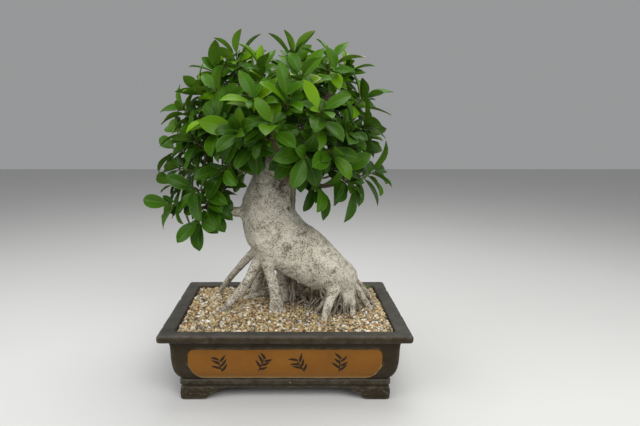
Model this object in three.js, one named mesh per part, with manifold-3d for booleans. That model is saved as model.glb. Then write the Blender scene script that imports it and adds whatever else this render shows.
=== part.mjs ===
// Chinese banyan bonsai (Ficus microcarpa): a pale, heavy trunk that stands on aerial roots, in a shallow
// rectangular pot with four bracket feet. Millimetres, +Z up, the front of the pot faces -Y. Everything is
// modelled round the middle of the pot, and the last lines move the origin under the middle of the outline.

import * as THREE from 'three';
import { mergeVertices } from 'three/addons/utils/BufferGeometryUtils.js';
import Module from 'manifold-3d';

const wasm = await Module();
wasm.setup();

// Driving dimensions

const gap = 0.35; // between two pieces that touch
const rootGap = 0.45; // round the roots, in the soil

const pot = {
  halfX: 200, // rim, outside
  halfY: 140,
  corner: 5,
  cornerSteps: 3,
  floor: 30, // inside
  // How far in from the rim's outer edge, and how high: up the outside, over the lip.
  outside: [
    [31, 20], [31, 26], [28, 27.5], [28, 34.5], [31, 36], [26, 42], [21, 52], [18, 66], [17, 82],
    [16.5, 98], [14, 106], [9, 109.5], [2, 110], [0, 113], [0, 118.5], [2, 121.5], [4, 122],
  ],
  // Down the inside, to the floor.
  inside: [[22, 121], [24.5, 118.5], [26.5, 104], [33, 46], [38, 31], [44, 30]],
};

// Bracket feet: L-shaped, outer faces at halfX and halfY, with a reach along the long and the short walls.
const foot = { halfX: 171.5, halfY: 111.5, height: 21, tread: 27, thick: 16, reachX: 76, reachY: 61 };

// The glazed panel lies in a shallow recess in the front wall.
const panel = { halfWidth: 155, bottom: 38.5, top: 93, lowRadius: 26, highRadius: 8, depth: 1.5, proud: 0.3 };

// Two drain holes, each with a square screen that has slots x slots holes.
const drain = { x: 90, radius: 10, sides: 14, screenHalf: 21, screenThick: 1.2, slots: 3, slotShare: 0.6 };

// The grit's surface: its height at the pot's wall, the rise of its heap, and half its unevenness.
const soil = { edge: 116.5, mound: 7, heapX: 178, heapY: 118, grain: 1.5, cellsX: 27, cellsY: 18 };

// The trunk's own body, from its cut top to the rounded end above the right-hand roots: x, y, z, radius.
const torso = [
  [20, 4, 430, 13], [8, 3, 404, 23], [-6, 4, 377, 31], [-18, 5, 350, 36], [-27, 5, 320, 42],
  [-31, 5, 293, 48], [-22, 5, 262, 54], [0, 3, 237, 53], [32, 0, 215, 47], [60, -3, 197, 43],
  [84, -7, 182, 38], [102, -9, 173, 33], [115, -9, 167, 25], [122, -9, 164, 14],
];
const torsoForm = { depth: 0.86, lumps: 0.028 }; // depth over width of its sections, and their unevenness

// Roots: x, y, z, radius down each, from inside the trunk to under the soil.
const thickRoots = [
  [[-40, 15, 228, 14], [-64, 36, 207, 8.5], [-95, 60, 169, 7], [-130, 83, 122, 5], [-142, 91, 104, 4]],
  [[-30, 0, 232, 20], [-50, -3, 200, 12], [-73, -14, 162, 9.5], [-106, -25, 126, 7], [-124, -30, 106, 5]],
  [
    [-26, -12, 236, 18], [-31, -24, 205, 11.5], [-22, -27, 170, 10], [-15, -28, 134, 11.5],
    [-13, -30, 106, 17],
  ],
  [[-10, 5, 225, 16], [-8, 14, 192, 10], [-4, 24, 160, 9], [2, 32, 122, 9.5], [4, 34, 104, 11]],
  [[-35, 12, 225, 16], [-42, 26, 190, 11], [-52, 38, 158, 10], [-62, 50, 122, 10], [-66, 56, 104, 8]],
  [[-30, 50, 130, 9], [-48, 46, 128, 8], [-70, 40, 124, 6.5], [-88, 34, 110, 5]],
  [[58, 28, 190, 14], [49, 42, 158, 9], [27, 45, 140, 8.5], [10, 42, 122, 8], [-2, 38, 106, 7]],
  [[84, -16, 190, 15], [87, -27, 168, 9], [76, -46, 149, 7.5], [66, -63, 124, 6], [61, -72, 106, 5.5]],
  [[100, -12, 182, 12], [104, -22, 160, 6.5], [105, -26, 146, 5], [106, -28, 124, 2.8], [106, -28, 108, 2.4]],
  [[108, -12, 182, 13], [114, -18, 160, 7], [116, -30, 140, 5.5], [115, -43, 122, 4.8], [115, -50, 106, 4.5]],
  [[108, -6, 180, 13], [121, 2, 160, 7], [134, 2, 142, 6], [149, -3, 122, 5], [162, -8, 106, 4]],
  [[100, 20, 178, 14], [127, 30, 162, 5], [144, 44, 140, 6], [156, 58, 120, 6], [164, 68, 104, 5]],
  [[-14, 26, 240, 16], [-24, 56, 198, 10.5], [-38, 78, 158, 9], [-50, 97, 122, 7.5], [-56, 106, 104, 6]],
  [[36, 24, 214, 15], [44, 54, 178, 9], [56, 76, 148, 7.5], [64, 92, 120, 6.5], [68, 100, 104, 5]],
  [[74, 22, 192, 13], [88, 44, 162, 7.5], [98, 62, 140, 6], [112, 78, 120, 5.5], [120, 86, 106, 4.5]],
];
const thinRoots = [
  [[14, -8, 196, 4], [12, 2, 170, 2.4], [14, 10, 145, 2.2], [11, 16, 118, 2.2], [11, 17, 108, 2.2]],
  [[22, -4, 192, 4], [17, 8, 165, 2], [10, 12, 142, 1.9], [15, 20, 116, 2]],
  [[40, -12, 182, 5], [42, 2, 156, 3.4], [43, 14, 138, 2.8], [45, 26, 116, 2.8], [45, 28, 106, 2.6]],
  [[76, -28, 158, 5], [66, -34, 140, 3.6], [56, -40, 128, 3.4], [44, -46, 112, 3.2]],
  [[98, -18, 162, 4], [94, -28, 142, 2], [86, -34, 128, 1.8], [80, -38, 112, 1.8]],
  [[101, -20, 156, 4], [98, -28, 140, 2], [96, -34, 126, 1.9], [92, -40, 112, 1.8]],
  [[103, -22, 152, 3.5], [101, -31, 138, 1.8], [101, -38, 124, 1.8], [100, -42, 112, 1.8]],
  [[112, -22, 156, 3.5], [109, -30, 140, 2], [108, -36, 124, 1.8], [109, -40, 112, 1.8]],
  [[118, -18, 160, 4], [124, -22, 144, 2.4], [128, -26, 130, 2.2], [131, -30, 112, 2.2]],
  [[118, 14, 170, 6], [130, 26, 158, 3], [138, 32, 150, 2.6], [148, 24, 130, 2.4], [170, -6, 112, 2.2]],
  [[118, 4, 168, 5], [136, 14, 148, 3], [152, 16, 130, 2.8], [166, 22, 114, 2.4]],
  [[62, 36, 176, 5], [72, 48, 152, 2.6], [78, 56, 134, 2.4], [80, 62, 112, 2.4]],
  [[16, 34, 200, 5], [14, 54, 168, 2.8], [20, 66, 142, 2.4], [18, 74, 112, 2.4]],
];

// Branches that show between the leaves, from inside the trunk outwards: x, y, z, radius.
const branches = [
  [[-48, 0, 296, 17], [-80, -2, 293, 10], [-106, -8, 299, 8], [-127, -15, 309, 5.5], [-140, -24, 318, 3.5]],
  [[-124, -14, 308, 5], [-142, -22, 304, 2.8], [-160, -28, 306, 2.4]],
  [[-20, 0, 352, 12], [-52, -10, 371, 5], [-77, -20, 381, 3.6], [-117, -30, 394, 3], [-150, -32, 408, 2.2]],
  [[12, 0, 408, 16], [-18, -6, 438, 9], [-50, -8, 466, 6.5], [-72, -4, 500, 5], [-80, 0, 525, 3]],
  [[14, 2, 412, 17], [6, 4, 455, 9], [-4, 0, 500, 6], [2, 10, 540, 3]],
  [[16, 0, 412, 16], [46, -6, 448, 8], [70, -12, 490, 5.5], [84, -6, 518, 3]],
  [[10, -4, 402, 14], [30, -24, 421, 6.5], [48, -40, 424, 5], [62, -55, 437, 4], [90, -58, 448, 2.6]],
  [[-6, -8, 356, 10], [20, -26, 352, 4.5], [54, -45, 345, 4], [76, -48, 346, 3.2], [88, -46, 354, 2.6]],
  [[14, 4, 410, 15], [60, 2, 424, 7], [98, -4, 442, 5], [122, -8, 462, 3]],
  [[0, -6, 390, 14], [-14, -46, 412, 6.5], [-22, -78, 436, 4.5], [-24, -104, 446, 3]],
  [[2, 10, 396, 15], [-12, 52, 424, 7.5], [-20, 86, 452, 5], [-24, 106, 474, 3]],
  [[12, 10, 404, 14], [52, 46, 424, 6.5], [78, 66, 436, 4.5], [96, 76, 460, 3]],
  [[-12, 8, 376, 14], [-64, 44, 398, 7], [-104, 62, 412, 5], [-134, 62, 426, 3]],
  [[-10, -2, 384, 13], [-58, -14, 420, 6.5], [-104, -16, 446, 4.5], [-142, -12, 462, 3]],
];

// Tips of the leafy shoots. A shoot grows away from the crown's heart, and a little up, unless it has an aim.
// A third value makes its leaves smaller than the others'.
const heart = new THREE.Vector3(-5, 5, 375);
const shootLift = 40;
const shootTips = [
  // Crown, front half
  [[-82, 6, 559], [-0.1, 0, 1]], [[-118, 22, 538], [-0.5, 0.2, 1]], [[-38, -42, 535]], [[14, 16, 561]],
  [[75, -20, 548], [0.2, -0.1, 1]], [[104, 6, 541], [0.3, -0.1, 1]], [[134, 0, 488]], [[134, -20, 446]],
  [[26, -80, 518]],
  [[5, -112, 482]], [[-110, -42, 498]], [[-144, 0, 500]], [[-172, -12, 470]], [[-180, -12, 436]],
  [[-190, 0, 402]], [[-152, -52, 420]], [[-110, -88, 452]], [[-45, -98, 482]], [[-18, -132, 446]],
  [[55, -114, 466]], [[106, -72, 436]],
  // Skirt over the neck of the trunk
  [[-70, -116, 430], [-0.2, -1, -0.3]], [[72, -108, 400], [0.4, -1, -0.3]],
  [[32, -118, 398], [0.2, -1, -0.5]], [[-50, -86, 412], [-0.3, -1, -0.3]],
  [[-100, -70, 372], [-0.5, -1, -0.4]], [[22, -86, 390], [0.2, -1, -0.4]],
  [[90, -55, 372], [0.7, -0.7, -0.1]], [[60, -68, 346], [0.6, -0.6, -0.2]],
  // Low left, over the short bough
  [[-180, -22, 372]], [[-148, -70, 342], [-0.6, -0.8, 0.2]], [[-192, -30, 346], [-1, -0.1, 0.2], 0.85],
  [[-102, -38, 342], [0.35, -0.6, 0.7], 0.72], [[-140, -62, 288], [0.05, -1, -0.55]],
  [[-190, -48, 312], [-0.8, -0.5, -0.25]], [[-126, -56, 323], [0.1, -0.75, 0.65], 0.85],
  // Low right, at the end of the thin bough
  [[112, -58, 343], [0.6, -0.6, -0.45]], [[146, -40, 366], [1, -0.2, 0.3]], [[132, -20, 396]],
  // Back half
  [[-60, 88, 538]], [[58, 88, 532]], [[-120, 78, 488]], [[-30, 128, 488]], [[40, 126, 478]], [[110, 78, 474]],
  [[-160, 58, 430]], [[-92, 118, 428]], [[-12, 138, 420]], [[68, 118, 418]], [[128, 50, 420]],
  [[-168, 48, 368]], [[-108, 98, 368]], [[48, 108, 362]], [[112, 58, 358]],
];

// Twigs: their radii from the wood to the shoot, and the share of their way that runs along the shoot's line.
const twig = { thickest: 3, thin: 1.9, end: 1.7, ease: 0.35 };

// Each internode of a shoot bears two leaves, and is turned by so many degrees.
const shoot = { internodes: 4, internode: 8, radius: 1.7, tipRadius: 0.9, turn: 35, bud: 5 };
const leavesPerShoot = shoot.internodes * 2;

// A leaf's share of its length and half width at the two sections between its root and its tip.
const bladeStations = [[0.36, 0.84], [0.7, 0.92]];
const leaf = {
  length: 56,
  halfWidth: 12.8,
  youngWidth: 0.84, // of a young leaf, as a share of that
  opening: [34, 52], // degrees from the shoot's line: the youngest leaf, and what the oldest adds
  youngOpening: 0.78, // of a young leaf, as a share of that
  openingSpread: 26,
  swing: 0.7, // round the shoot, as a share of the way out
  droop: { below: 430, over: 130, least: 0.05, most: 0.8 }, // by the height of the shoot's tip
  facing: { line: 0.9, up: 0.55, light: 0.45 }, // what the upper face turns to
  size: { least: 0.66, swell: 0.4, smallest: 0.88, spread: 0.24 },
  keel: 1.3, // how far the midrib stands out below
  fold: 0.3,
  bend: 0.2,
  clear: 0.7, // to its neighbours
  tries: 48,
  shrink: 0.009, // with each try
};
const youngAbove = 470; // height of the tips from which the leaves are young and bright

// Colours

const paint = {
  clay: [0x3b3631, 0.62],
  ochre: [0xa8651f, 0.45],
  grit: [0xb9a582, 0.95],
  bark: [0xb0a898, 0.8],
  youngLeaf: [0x5f9c1e, 0.4],
  grownLeaf: [0x2f6a1a, 0.36],
  screen: [0x20231f, 0.7],
};

const materials = Object.fromEntries(Object.entries(paint).map(([name, [color, roughness]]) => [
  name, new THREE.MeshStandardMaterial({ name, color, roughness, metalness: 0, flatShading: true }),
]));

// Solids and meshes

const bonsai = new THREE.Group();

function add(name, solid, material) {
  const mesh = new THREE.Mesh(geometryOf(solid), materials[material]);
  mesh.name = name;
  bonsai.add(mesh);
}

function solidOf(geometry) {
  const bare = geometry.clone();
  bare.deleteAttribute('normal');
  bare.deleteAttribute('uv');
  const merged = mergeVertices(bare, 1e-4);
  return new wasm.Manifold(new wasm.Mesh({
    numProp: 3,
    vertProperties: new Float32Array(merged.attributes.position.array),
    triVerts: new Uint32Array(merged.index.array),
  }));
}

function geometryOf(solid) {
  const { vertProperties, triVerts } = solid.getMesh();
  const geometry = new THREE.BufferGeometry();
  geometry.setAttribute('position', new THREE.BufferAttribute(vertProperties, 3));
  geometry.setIndex(new THREE.BufferAttribute(triVerts, 1));
  geometry.computeVertexNormals();
  return geometry;
}

function geometryFrom(points, faces) {
  const geometry = new THREE.BufferGeometry().setFromPoints(points);
  geometry.setIndex(faces);
  return geometry;
}

const sumOf = (points) => points.reduce((sum, p) => sum.add(p), new THREE.Vector3());
const middleOf = (points) => sumOf(points).divideScalar(points.length);

const joined = (solids) => solids.reduce((whole, next) => whole.add(next));

// A seeded stream of numbers from 0 to 1.
function seeded(seed) {
  let state = seed >>> 0;
  return () => {
    state = (state + 0x6d2b79f5) >>> 0;
    let mixed = Math.imul(state ^ (state >>> 15), 1 | state);
    mixed = (mixed + Math.imul(mixed ^ (mixed >>> 7), 61 | mixed)) ^ mixed;
    return ((mixed ^ (mixed >>> 14)) >>> 0) / 4294967296;
  };
}

// A closed skin over rings of equal size, with fans as its ends.
// Each ring runs anticlockwise as seen from the last one.
function skin(rings) {
  const sides = rings[0].length;
  const points = rings.flat();
  const faces = [];
  for (let start = 0; start < points.length - sides; start += sides) {
    for (let k = 0; k < sides; k += 1) {
      const a = start + k;
      const b = start + ((k + 1) % sides);
      faces.push(a, b, b + sides, a, b + sides, a + sides);
    }
  }
  const last = points.length - sides;
  points.push(middleOf(rings[0]), middleOf(rings[rings.length - 1]));
  for (let k = 0; k < sides; k += 1) {
    const next = (k + 1) % sides;
    faces.push(points.length - 2, next, k, points.length - 1, last + k, last + next);
  }
  return geometryFrom(points, faces);
}

// Pot

// The rectangle that lies in by inset from the rim's edge, at height z, with rounded corners.
function potRing(inset, z) {
  const ring = [];
  for (let quarter = 0; quarter < 4; quarter += 1) {
    const sx = quarter === 0 || quarter === 3 ? 1 : -1;
    const sy = quarter < 2 ? 1 : -1;
    for (let k = 0; k <= pot.cornerSteps; k += 1) {
      const angle = (quarter + k / pot.cornerSteps) * Math.PI / 2;
      ring.push(new THREE.Vector3(
        sx * (pot.halfX - inset - pot.corner) + pot.corner * Math.cos(angle),
        sy * (pot.halfY - inset - pot.corner) + pot.corner * Math.sin(angle),
        z,
      ));
    }
  }
  return ring;
}

const potSkin = (profile, inset = 0) => solidOf(skin(profile.map(([x, z]) => potRing(x + inset, z))));
const potOutside = (inset) => potSkin(pot.outside, inset);

// A drawn outline pushed back along Y by depth, from the plane y = front.
function prism(outline, front, depth, curveSegments) {
  const plate = new THREE.ExtrudeGeometry(outline, { depth, bevelEnabled: false, curveSegments });
  return plate.rotateX(Math.PI / 2).translate(0, front + depth, 0);
}

// One arm of a foot: a flat tread at the corner, then an underside that sweeps up to meet the wall.
function footArm(reach) {
  const outline = new THREE.Shape();
  outline.moveTo(0, 0);
  outline.lineTo(foot.tread, 0);
  outline.quadraticCurveTo(reach * 0.52, foot.height * 0.07, reach * 0.68, foot.height * 0.5);
  outline.quadraticCurveTo(reach * 0.82, foot.height * 0.86, reach, foot.height);
  outline.lineTo(0, foot.height);
  return prism(outline, 0, foot.thick, 3);
}

function bracketFoot(signX, signY) {
  const along = solidOf(footArm(foot.reachX));
  const across = solidOf(footArm(foot.reachY).rotateZ(Math.PI / 2).translate(foot.thick, 0, 0));
  return along.add(across).translate([-foot.halfX, -foot.halfY, 0]).scale([-signX, -signY, 1]);
}

// The panel's outline: bulging sides, wide curves at the bottom corners and tight ones at the top.
function panelPrism(shrink) {
  const halfWidth = panel.halfWidth - shrink;
  const bottom = panel.bottom + shrink;
  const top = panel.top - shrink;
  const low = panel.lowRadius;
  const high = panel.highRadius;
  const outline = new THREE.Shape();
  outline.moveTo(-halfWidth + low, bottom);
  outline.lineTo(halfWidth - low, bottom);
  outline.quadraticCurveTo(halfWidth - low * 0.1, bottom + low * 0.2, halfWidth, bottom + low * 1.1);
  outline.lineTo(halfWidth - 1, top - high);
  outline.quadraticCurveTo(halfWidth - 2, top, halfWidth - high, top);
  outline.lineTo(-halfWidth + high, top);
  outline.quadraticCurveTo(-halfWidth + 2, top, -halfWidth + 1, top - high);
  outline.lineTo(-halfWidth, bottom + low * 1.1);
  outline.quadraticCurveTo(-halfWidth + low * 0.1, bottom + low * 0.2, -halfWidth + low, bottom);
  return solidOf(prism(outline, -pot.halfY, pot.halfY / 2, 4));
}

const drainHole = (side) => solidOf(
  new THREE.CylinderGeometry(drain.radius, drain.radius, pot.floor * 2, drain.sides)
    .rotateX(Math.PI / 2).translate(side * drain.x, 0, pot.floor),
);

const feet = joined([bracketFoot(1, 1), bracketFoot(1, -1), bracketFoot(-1, 1), bracketFoot(-1, -1)]);
const recess = panelPrism(0).subtract(potOutside(panel.depth));
const cuts = joined([recess, drainHole(-1), drainHole(1)]);
add('pot', potSkin([...pot.outside, ...pot.inside]).add(feet).subtract(cuts), 'clay');

const glazeBack = potOutside(panel.depth - gap);
add('panel_glaze', panelPrism(gap).intersect(potOutside(panel.proud)).subtract(glazeBack), 'ochre');

// Drain screens, flat on the pot's floor over each hole

const brick = (width, depth, height, x, y, z) => (
  solidOf(new THREE.BoxGeometry(width, depth, height).translate(x, y, z)));

function screen(side) {
  const width = drain.screenHalf * 2;
  const pitch = width / (drain.slots + 0.5);
  const slot = pitch * drain.slotShare;
  const level = pot.floor + gap + drain.screenThick / 2;
  const slots = [];
  for (let i = 0; i < drain.slots; i += 1) {
    for (let j = 0; j < drain.slots; j += 1) {
      const x = side * drain.x + (i - (drain.slots - 1) / 2) * pitch;
      const y = (j - (drain.slots - 1) / 2) * pitch;
      slots.push(brick(slot, slot, drain.screenThick * 2, x, y, level));
    }
  }
  return brick(width, width, drain.screenThick, side * drain.x, 0, level).subtract(joined(slots));
}

add('drain_screen_left', screen(-1), 'screen');
add('drain_screen_right', screen(1), 'screen');

// Wood: trunk, roots, branches and twigs

// A skin round a smooth line through the route, whose points are x, y, z, radius. Growing makes it thicker
// and longer, and depth is its size the other way as a share of its width.
function limb(route, sides, steps, { depth = 1, grow = 0, lumps = 0 } = {}) {
  const line = new THREE.CatmullRomCurve3(route.map(([x, y, z]) => new THREE.Vector3(x, y, z)));
  const girth = new THREE.CatmullRomCurve3(route.map(([, , , r], k) => new THREE.Vector3(r, k, 0)));
  const across = new THREE.Vector3(0, 1, 0);
  if (Math.abs(line.getTangent(0).y) > 0.9) across.set(1, 0, 0);
  const rings = [];
  for (let step = 0; step <= steps; step += 1) {
    const u = step / steps;
    const heading = line.getTangent(u);
    across.addScaledVector(heading, -across.dot(heading)).normalize();
    const side = across.clone().cross(heading);
    const centre = line.getPoint(u);
    if (grow && (step === 0 || step === steps)) centre.addScaledVector(heading, step ? grow : -grow);
    const radius = girth.getPoint(u).x + grow;
    const ring = [];
    for (let k = 0; k < sides; k += 1) {
      const angle = k / sides * Math.PI * 2;
      const lump = 1 + lumps * (Math.sin(angle * 3 + u * 9) + Math.sin(angle * 2 - u * 17) * 0.7);
      const reach = radius * lump;
      ring.push(centre.clone()
        .addScaledVector(side, Math.cos(angle) * reach)
        .addScaledVector(across, Math.sin(angle) * reach * depth));
    }
    rings.push(ring);
  }
  return skin(rings);
}

const rootLimbs = (grow) => [
  limb(torso, 14, 18, { ...torsoForm, grow }),
  ...thickRoots.map((route) => limb(route, 6, 6, { grow, lumps: 0.02 })),
  ...thinRoots.map((route) => limb(route, 3, 4, { grow })),
];
const branchLimbs = branches.map((route) => limb(route, 5, route.length - 1));

// Points along the wood that a new twig may start from, all but the last spare stretches of the route.
const buds = [];
function markBuds(route, spare) {
  route.slice(1).forEach(([x, y, z, radius], k) => {
    const from = new THREE.Vector3(...route[k]);
    const to = new THREE.Vector3(x, y, z);
    for (const share of [0.25, 0.5, 0.75, 1]) {
      if (k + share > 0.5 && k + share <= route.length - 1 - spare) {
        buds.push({ point: from.clone().lerp(to, share), radius });
      }
    }
  });
}
branches.forEach((route) => markBuds(route, 0));

const up = new THREE.Vector3(0, 0, 1);
const shoots = shootTips.map(([tip, aim, scale = 1], index) => {
  const top = new THREE.Vector3(...tip);
  const heading = aim ? new THREE.Vector3(...aim) : top.clone().sub(heart).addScaledVector(up, shootLift);
  heading.normalize();
  const base = top.clone().addScaledVector(heading, -shoot.internodes * shoot.internode);
  return { index, top, heading, base, scale, isYoung: top.z > youngAbove };
});

// Each shoot's twig leaves the wood at the nearest bud, the inner shoots first.
const twigLimbs = [];
for (const item of [...shoots].sort((a, b) => a.base.distanceTo(heart) - b.base.distanceTo(heart))) {
  const near = buds.reduce((best, bud) => (
    bud.point.distanceTo(item.base) < best.point.distanceTo(item.base) ? bud : best));
  const ease = item.base.clone().addScaledVector(item.heading, -twig.ease * near.point.distanceTo(item.base));
  const startRadius = Math.min(near.radius * 0.8, twig.thickest);
  const route = [
    [...near.point.toArray(), startRadius],
    [...near.point.clone().lerp(ease, 0.55).toArray(), Math.max(startRadius * 0.85, twig.thin)],
    [...ease.toArray(), twig.thin],
    [...item.base.toArray(), twig.end],
  ];
  twigLimbs.push(limb(route, 3, route.length - 1));
  markBuds(route, 0.7);
}

// Facets smaller than this, in millimetres, are smoothed away.
const smallest = { boughs: 0.5, trunk: 0.25, soil: 0.2 };
const lowerWood = joined(rootLimbs(0).map(solidOf));
const upperWood = joined([...branchLimbs, ...twigLimbs].map(solidOf)).simplify(smallest.boughs);
add('trunk', lowerWood.add(upperWood).simplify(smallest.trunk), 'bark');

// Soil: grit that fills the pot to just under the rim, heaped a little towards the trunk

function soilTop(x, y, draw) {
  const rise = (1 - (x / soil.heapX) ** 2) * (1 - (y / soil.heapY) ** 2);
  return soil.edge + soil.mound * Math.max(rise, 0) + soil.grain * (draw() * 2 - 1);
}

function soilHeap() {
  const block = new THREE.BoxGeometry(pot.halfX * 2, pot.halfY * 2, 1, soil.cellsX, soil.cellsY, 1);
  block.deleteAttribute('normal');
  block.deleteAttribute('uv');
  const heap = mergeVertices(block);
  const places = heap.attributes.position;
  const draw = seeded(11);
  for (let k = 0; k < places.count; k += 1) {
    const top = places.getZ(k) > 0;
    places.setZ(k, top ? soilTop(places.getX(k), places.getY(k), draw) : pot.floor + gap);
  }
  return solidOf(heap);
}

const screenPocket = (side) => brick(
  (drain.screenHalf + gap) * 2,
  (drain.screenHalf + gap) * 2,
  (drain.screenThick + gap * 2) * 2,
  side * drain.x,
  0,
  pot.floor,
);

const cavity = potSkin([...pot.inside].reverse().map(([inset, z]) => [inset + gap, z]));
const hollows = joined([screenPocket(-1), screenPocket(1), ...rootLimbs(rootGap).map(solidOf)]);
add('soil_grit', soilHeap().intersect(cavity).subtract(hollows).simplify(smallest.soil), 'grit');

// Leafy shoots: a three-sided stem that ends in a bud, with folded leaves drawn out of its faces

const boxOf = (points) => new THREE.Box3().setFromPoints(points);

const faceOf = (...corners) => ({ corners, box: boxOf(corners) });
const bundle = (list) => ({ list, box: boxOf(list.flatMap(({ corners }) => corners)) });

function trianglesOf(geometry) {
  const place = geometry.attributes.position;
  const at = (k) => new THREE.Vector3().fromBufferAttribute(place, geometry.index.array[k]);
  const list = [];
  for (let k = 0; k < geometry.index.count; k += 3) list.push(faceOf(at(k), at(k + 1), at(k + 2)));
  return bundle(list);
}

const ray = new THREE.Ray();
const hit = new THREE.Vector3();
function pierces(from, to, [a, b, c]) {
  ray.origin.copy(from);
  ray.direction.copy(to).sub(from);
  const length = ray.direction.length();
  ray.direction.divideScalar(length);
  return ray.intersectTriangle(a, b, c, false, hit) !== null && hit.distanceTo(from) <= length;
}

// Faces that share a corner can only cross along the edges that don't reach it.
const edges = [[0, 1], [1, 2], [2, 0]];
const edgePierces = (one, other) => edges.some(([i, j]) => (
  !other.includes(one[i]) && !other.includes(one[j]) && pierces(one[i], one[j], other)));
const facesCross = (one, other) => one.box.intersectsBox(other.box)
  && (edgePierces(one.corners, other.corners) || edgePierces(other.corners, one.corners));
const crosses = (one, other) => one.box.intersectsBox(other.box)
  && one.list.some((a) => a.box.intersectsBox(other.box) && other.list.some((b) => facesCross(a, b)));

// A blade's section at share t of its length: keel, right edge, midrib and left edge, in that order.
function section({ root, direction, face, size, slim }, t, width, extra = 0) {
  const length = size * leaf.length;
  const normal = face.clone().addScaledVector(direction, leaf.bend * 2 * t).normalize();
  const side = normal.clone().cross(direction).normalize();
  const centre = root.clone().addScaledVector(direction, length * t)
    .addScaledVector(face, -leaf.bend * length * t * t);
  const half = size * slim * leaf.halfWidth * width + extra;
  const raised = centre.clone().addScaledVector(normal, half * leaf.fold);
  const edge = (sign) => raised.clone().addScaledVector(side, sign * half);
  return [
    centre.clone().addScaledVector(normal, -leaf.keel - extra),
    edge(1),
    centre.clone().addScaledVector(normal, extra),
    edge(-1),
  ];
}

// A blade's sections, each begun at the corner that leaves the least twist between it and the stem's face.
function sectionsOf(spec, extra = 0) {
  const sections = bladeStations.map(([t, width]) => section(spec, t, width, extra));
  const travel = (turn) => spec.corners.reduce((sum, p, k) => (
    sum + p.distanceTo(sections[0][(k + turn) % 4])), 0);
  const turn = [0, 1, 2, 3].reduce((best, next) => (travel(next) < travel(best) ? next : best));
  return sections.map((points) => points.map((p, k) => points[(k + turn) % 4]));
}

// A blade for trying out against its neighbours. It starts a fifth of the way to its first section.
function fence(spec, extra) {
  const sections = sectionsOf(spec, extra);
  const start = spec.corners.map((p, k) => p.clone().lerp(sections[0][k], 0.2));
  return trianglesOf(skin([start, ...sections, section(spec, 1, 0.03, extra / 2)]));
}

// The faces of a whole leaf, from the corners of the stem's face to its tip.
function leafFaces({ corners, sections, tip }) {
  const loops = [corners, ...sections];
  const list = [];
  loops.forEach((loop, level) => loop.forEach((a, k) => {
    const next = (k + 1) % loop.length;
    const ahead = loops[level + 1];
    if (ahead) list.push(faceOf(a, loop[next], ahead[next]), faceOf(a, ahead[next], ahead[k]));
    else list.push(faceOf(a, loop[next], tip));
  }));
  return bundle(list);
}

function stemRings({ base, heading, index }) {
  const across = new THREE.Vector3(1, 0, 0);
  if (Math.abs(heading.x) > 0.8) across.set(0, 1, 0);
  across.addScaledVector(heading, -across.dot(heading)).normalize();
  const other = heading.clone().cross(across);
  const rings = [];
  for (let ring = 0; ring <= shoot.internodes; ring += 1) {
    const centre = base.clone().addScaledVector(heading, gap + ring * shoot.internode);
    const radius = THREE.MathUtils.lerp(shoot.radius, shoot.tipRadius, ring / shoot.internodes);
    const start = index * 2.4 + THREE.MathUtils.degToRad(ring * shoot.turn);
    rings.push([0, 1, 2].map((k) => {
      const angle = start + k * Math.PI * 2 / 3;
      return centre.clone()
        .addScaledVector(across, Math.cos(angle) * radius)
        .addScaledVector(other, Math.sin(angle) * radius);
    }));
  }
  return rings;
}

const stems = shoots.map(stemRings);
const budOf = (rings, heading) => middleOf(rings[shoot.internodes]).addScaledVector(heading, shoot.bud);

// The faces of a stem by level and side, and of its bud, all on the stem's own corners.
function stemFaces(rings, heading) {
  const bud = budOf(rings, heading);
  const walls = [];
  rings.forEach((ring, level) => ring.forEach((a, side) => {
    const b = ring[(side + 1) % 3];
    const above = rings[level + 1];
    if (above) {
      walls.push({ level, side, ...faceOf(a, b, above[(side + 1) % 3]) });
      walls.push({ level, side, ...faceOf(a, above[(side + 1) % 3], above[side]) });
    } else walls.push({ level, side, ...faceOf(a, b, bud) });
  }));
  return walls;
}

// Leaves are ranked from the tip down: two to an internode, on faces a third of a turn apart.
function tryLeaf({ heading, index, top, scale, isYoung }, rank, attempt, draw) {
  const level = shoot.internodes - 1 - Math.floor(rank / 2);
  const lower = stems[index][level];
  const upper = stems[index][level + 1];
  const side = (level + rank % 2) % 3;
  const corners = [lower[side], lower[(side + 1) % 3], upper[(side + 1) % 3], upper[side]];
  const root = middleOf(corners);
  const outward = root.clone().sub(middleOf([...lower, ...upper])).normalize();
  const share = rank / (leavesPerShoot - 1);
  // The youngest leaves stand up round the bud and the oldest open wide, and low on the crown they droop.
  const wide = (leaf.opening[0] + leaf.opening[1] * share) * (isYoung ? leaf.youngOpening : 1);
  const opening = THREE.MathUtils.degToRad(wide + leaf.openingSpread * (draw() - 0.5));
  const swing = heading.clone().cross(outward).multiplyScalar((draw() - 0.5) * leaf.swing);
  const { below, over, least, most } = leaf.droop;
  const droop = THREE.MathUtils.clamp((below - top.z) / over, least, most) * (0.3 + 0.7 * share);
  const direction = heading.clone().multiplyScalar(Math.cos(opening))
    .addScaledVector(outward.add(swing).normalize(), Math.sin(opening))
    .addScaledVector(up, -droop).normalize();
  const light = new THREE.Vector3(top.x - heart.x, top.y - heart.y, 0).normalize();
  const face = heading.clone().multiplyScalar(leaf.facing.line)
    .addScaledVector(up, leaf.facing.up)
    .addScaledVector(light, leaf.facing.light);
  face.addScaledVector(direction, -face.dot(direction)).normalize();
  const swell = leaf.size.least + leaf.size.swell * Math.sin(Math.PI * Math.min(share + 0.12, 0.75));
  const own = leaf.size.smallest + leaf.size.spread * draw();
  const size = scale * swell * own * (1 - attempt * leaf.shrink);
  const spec = { level, side, corners, root, direction, face, size, slim: isYoung ? leaf.youngWidth : 1 };
  return { ...spec, sections: sectionsOf(spec), tip: section(spec, 1, 0)[2] };
}

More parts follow.
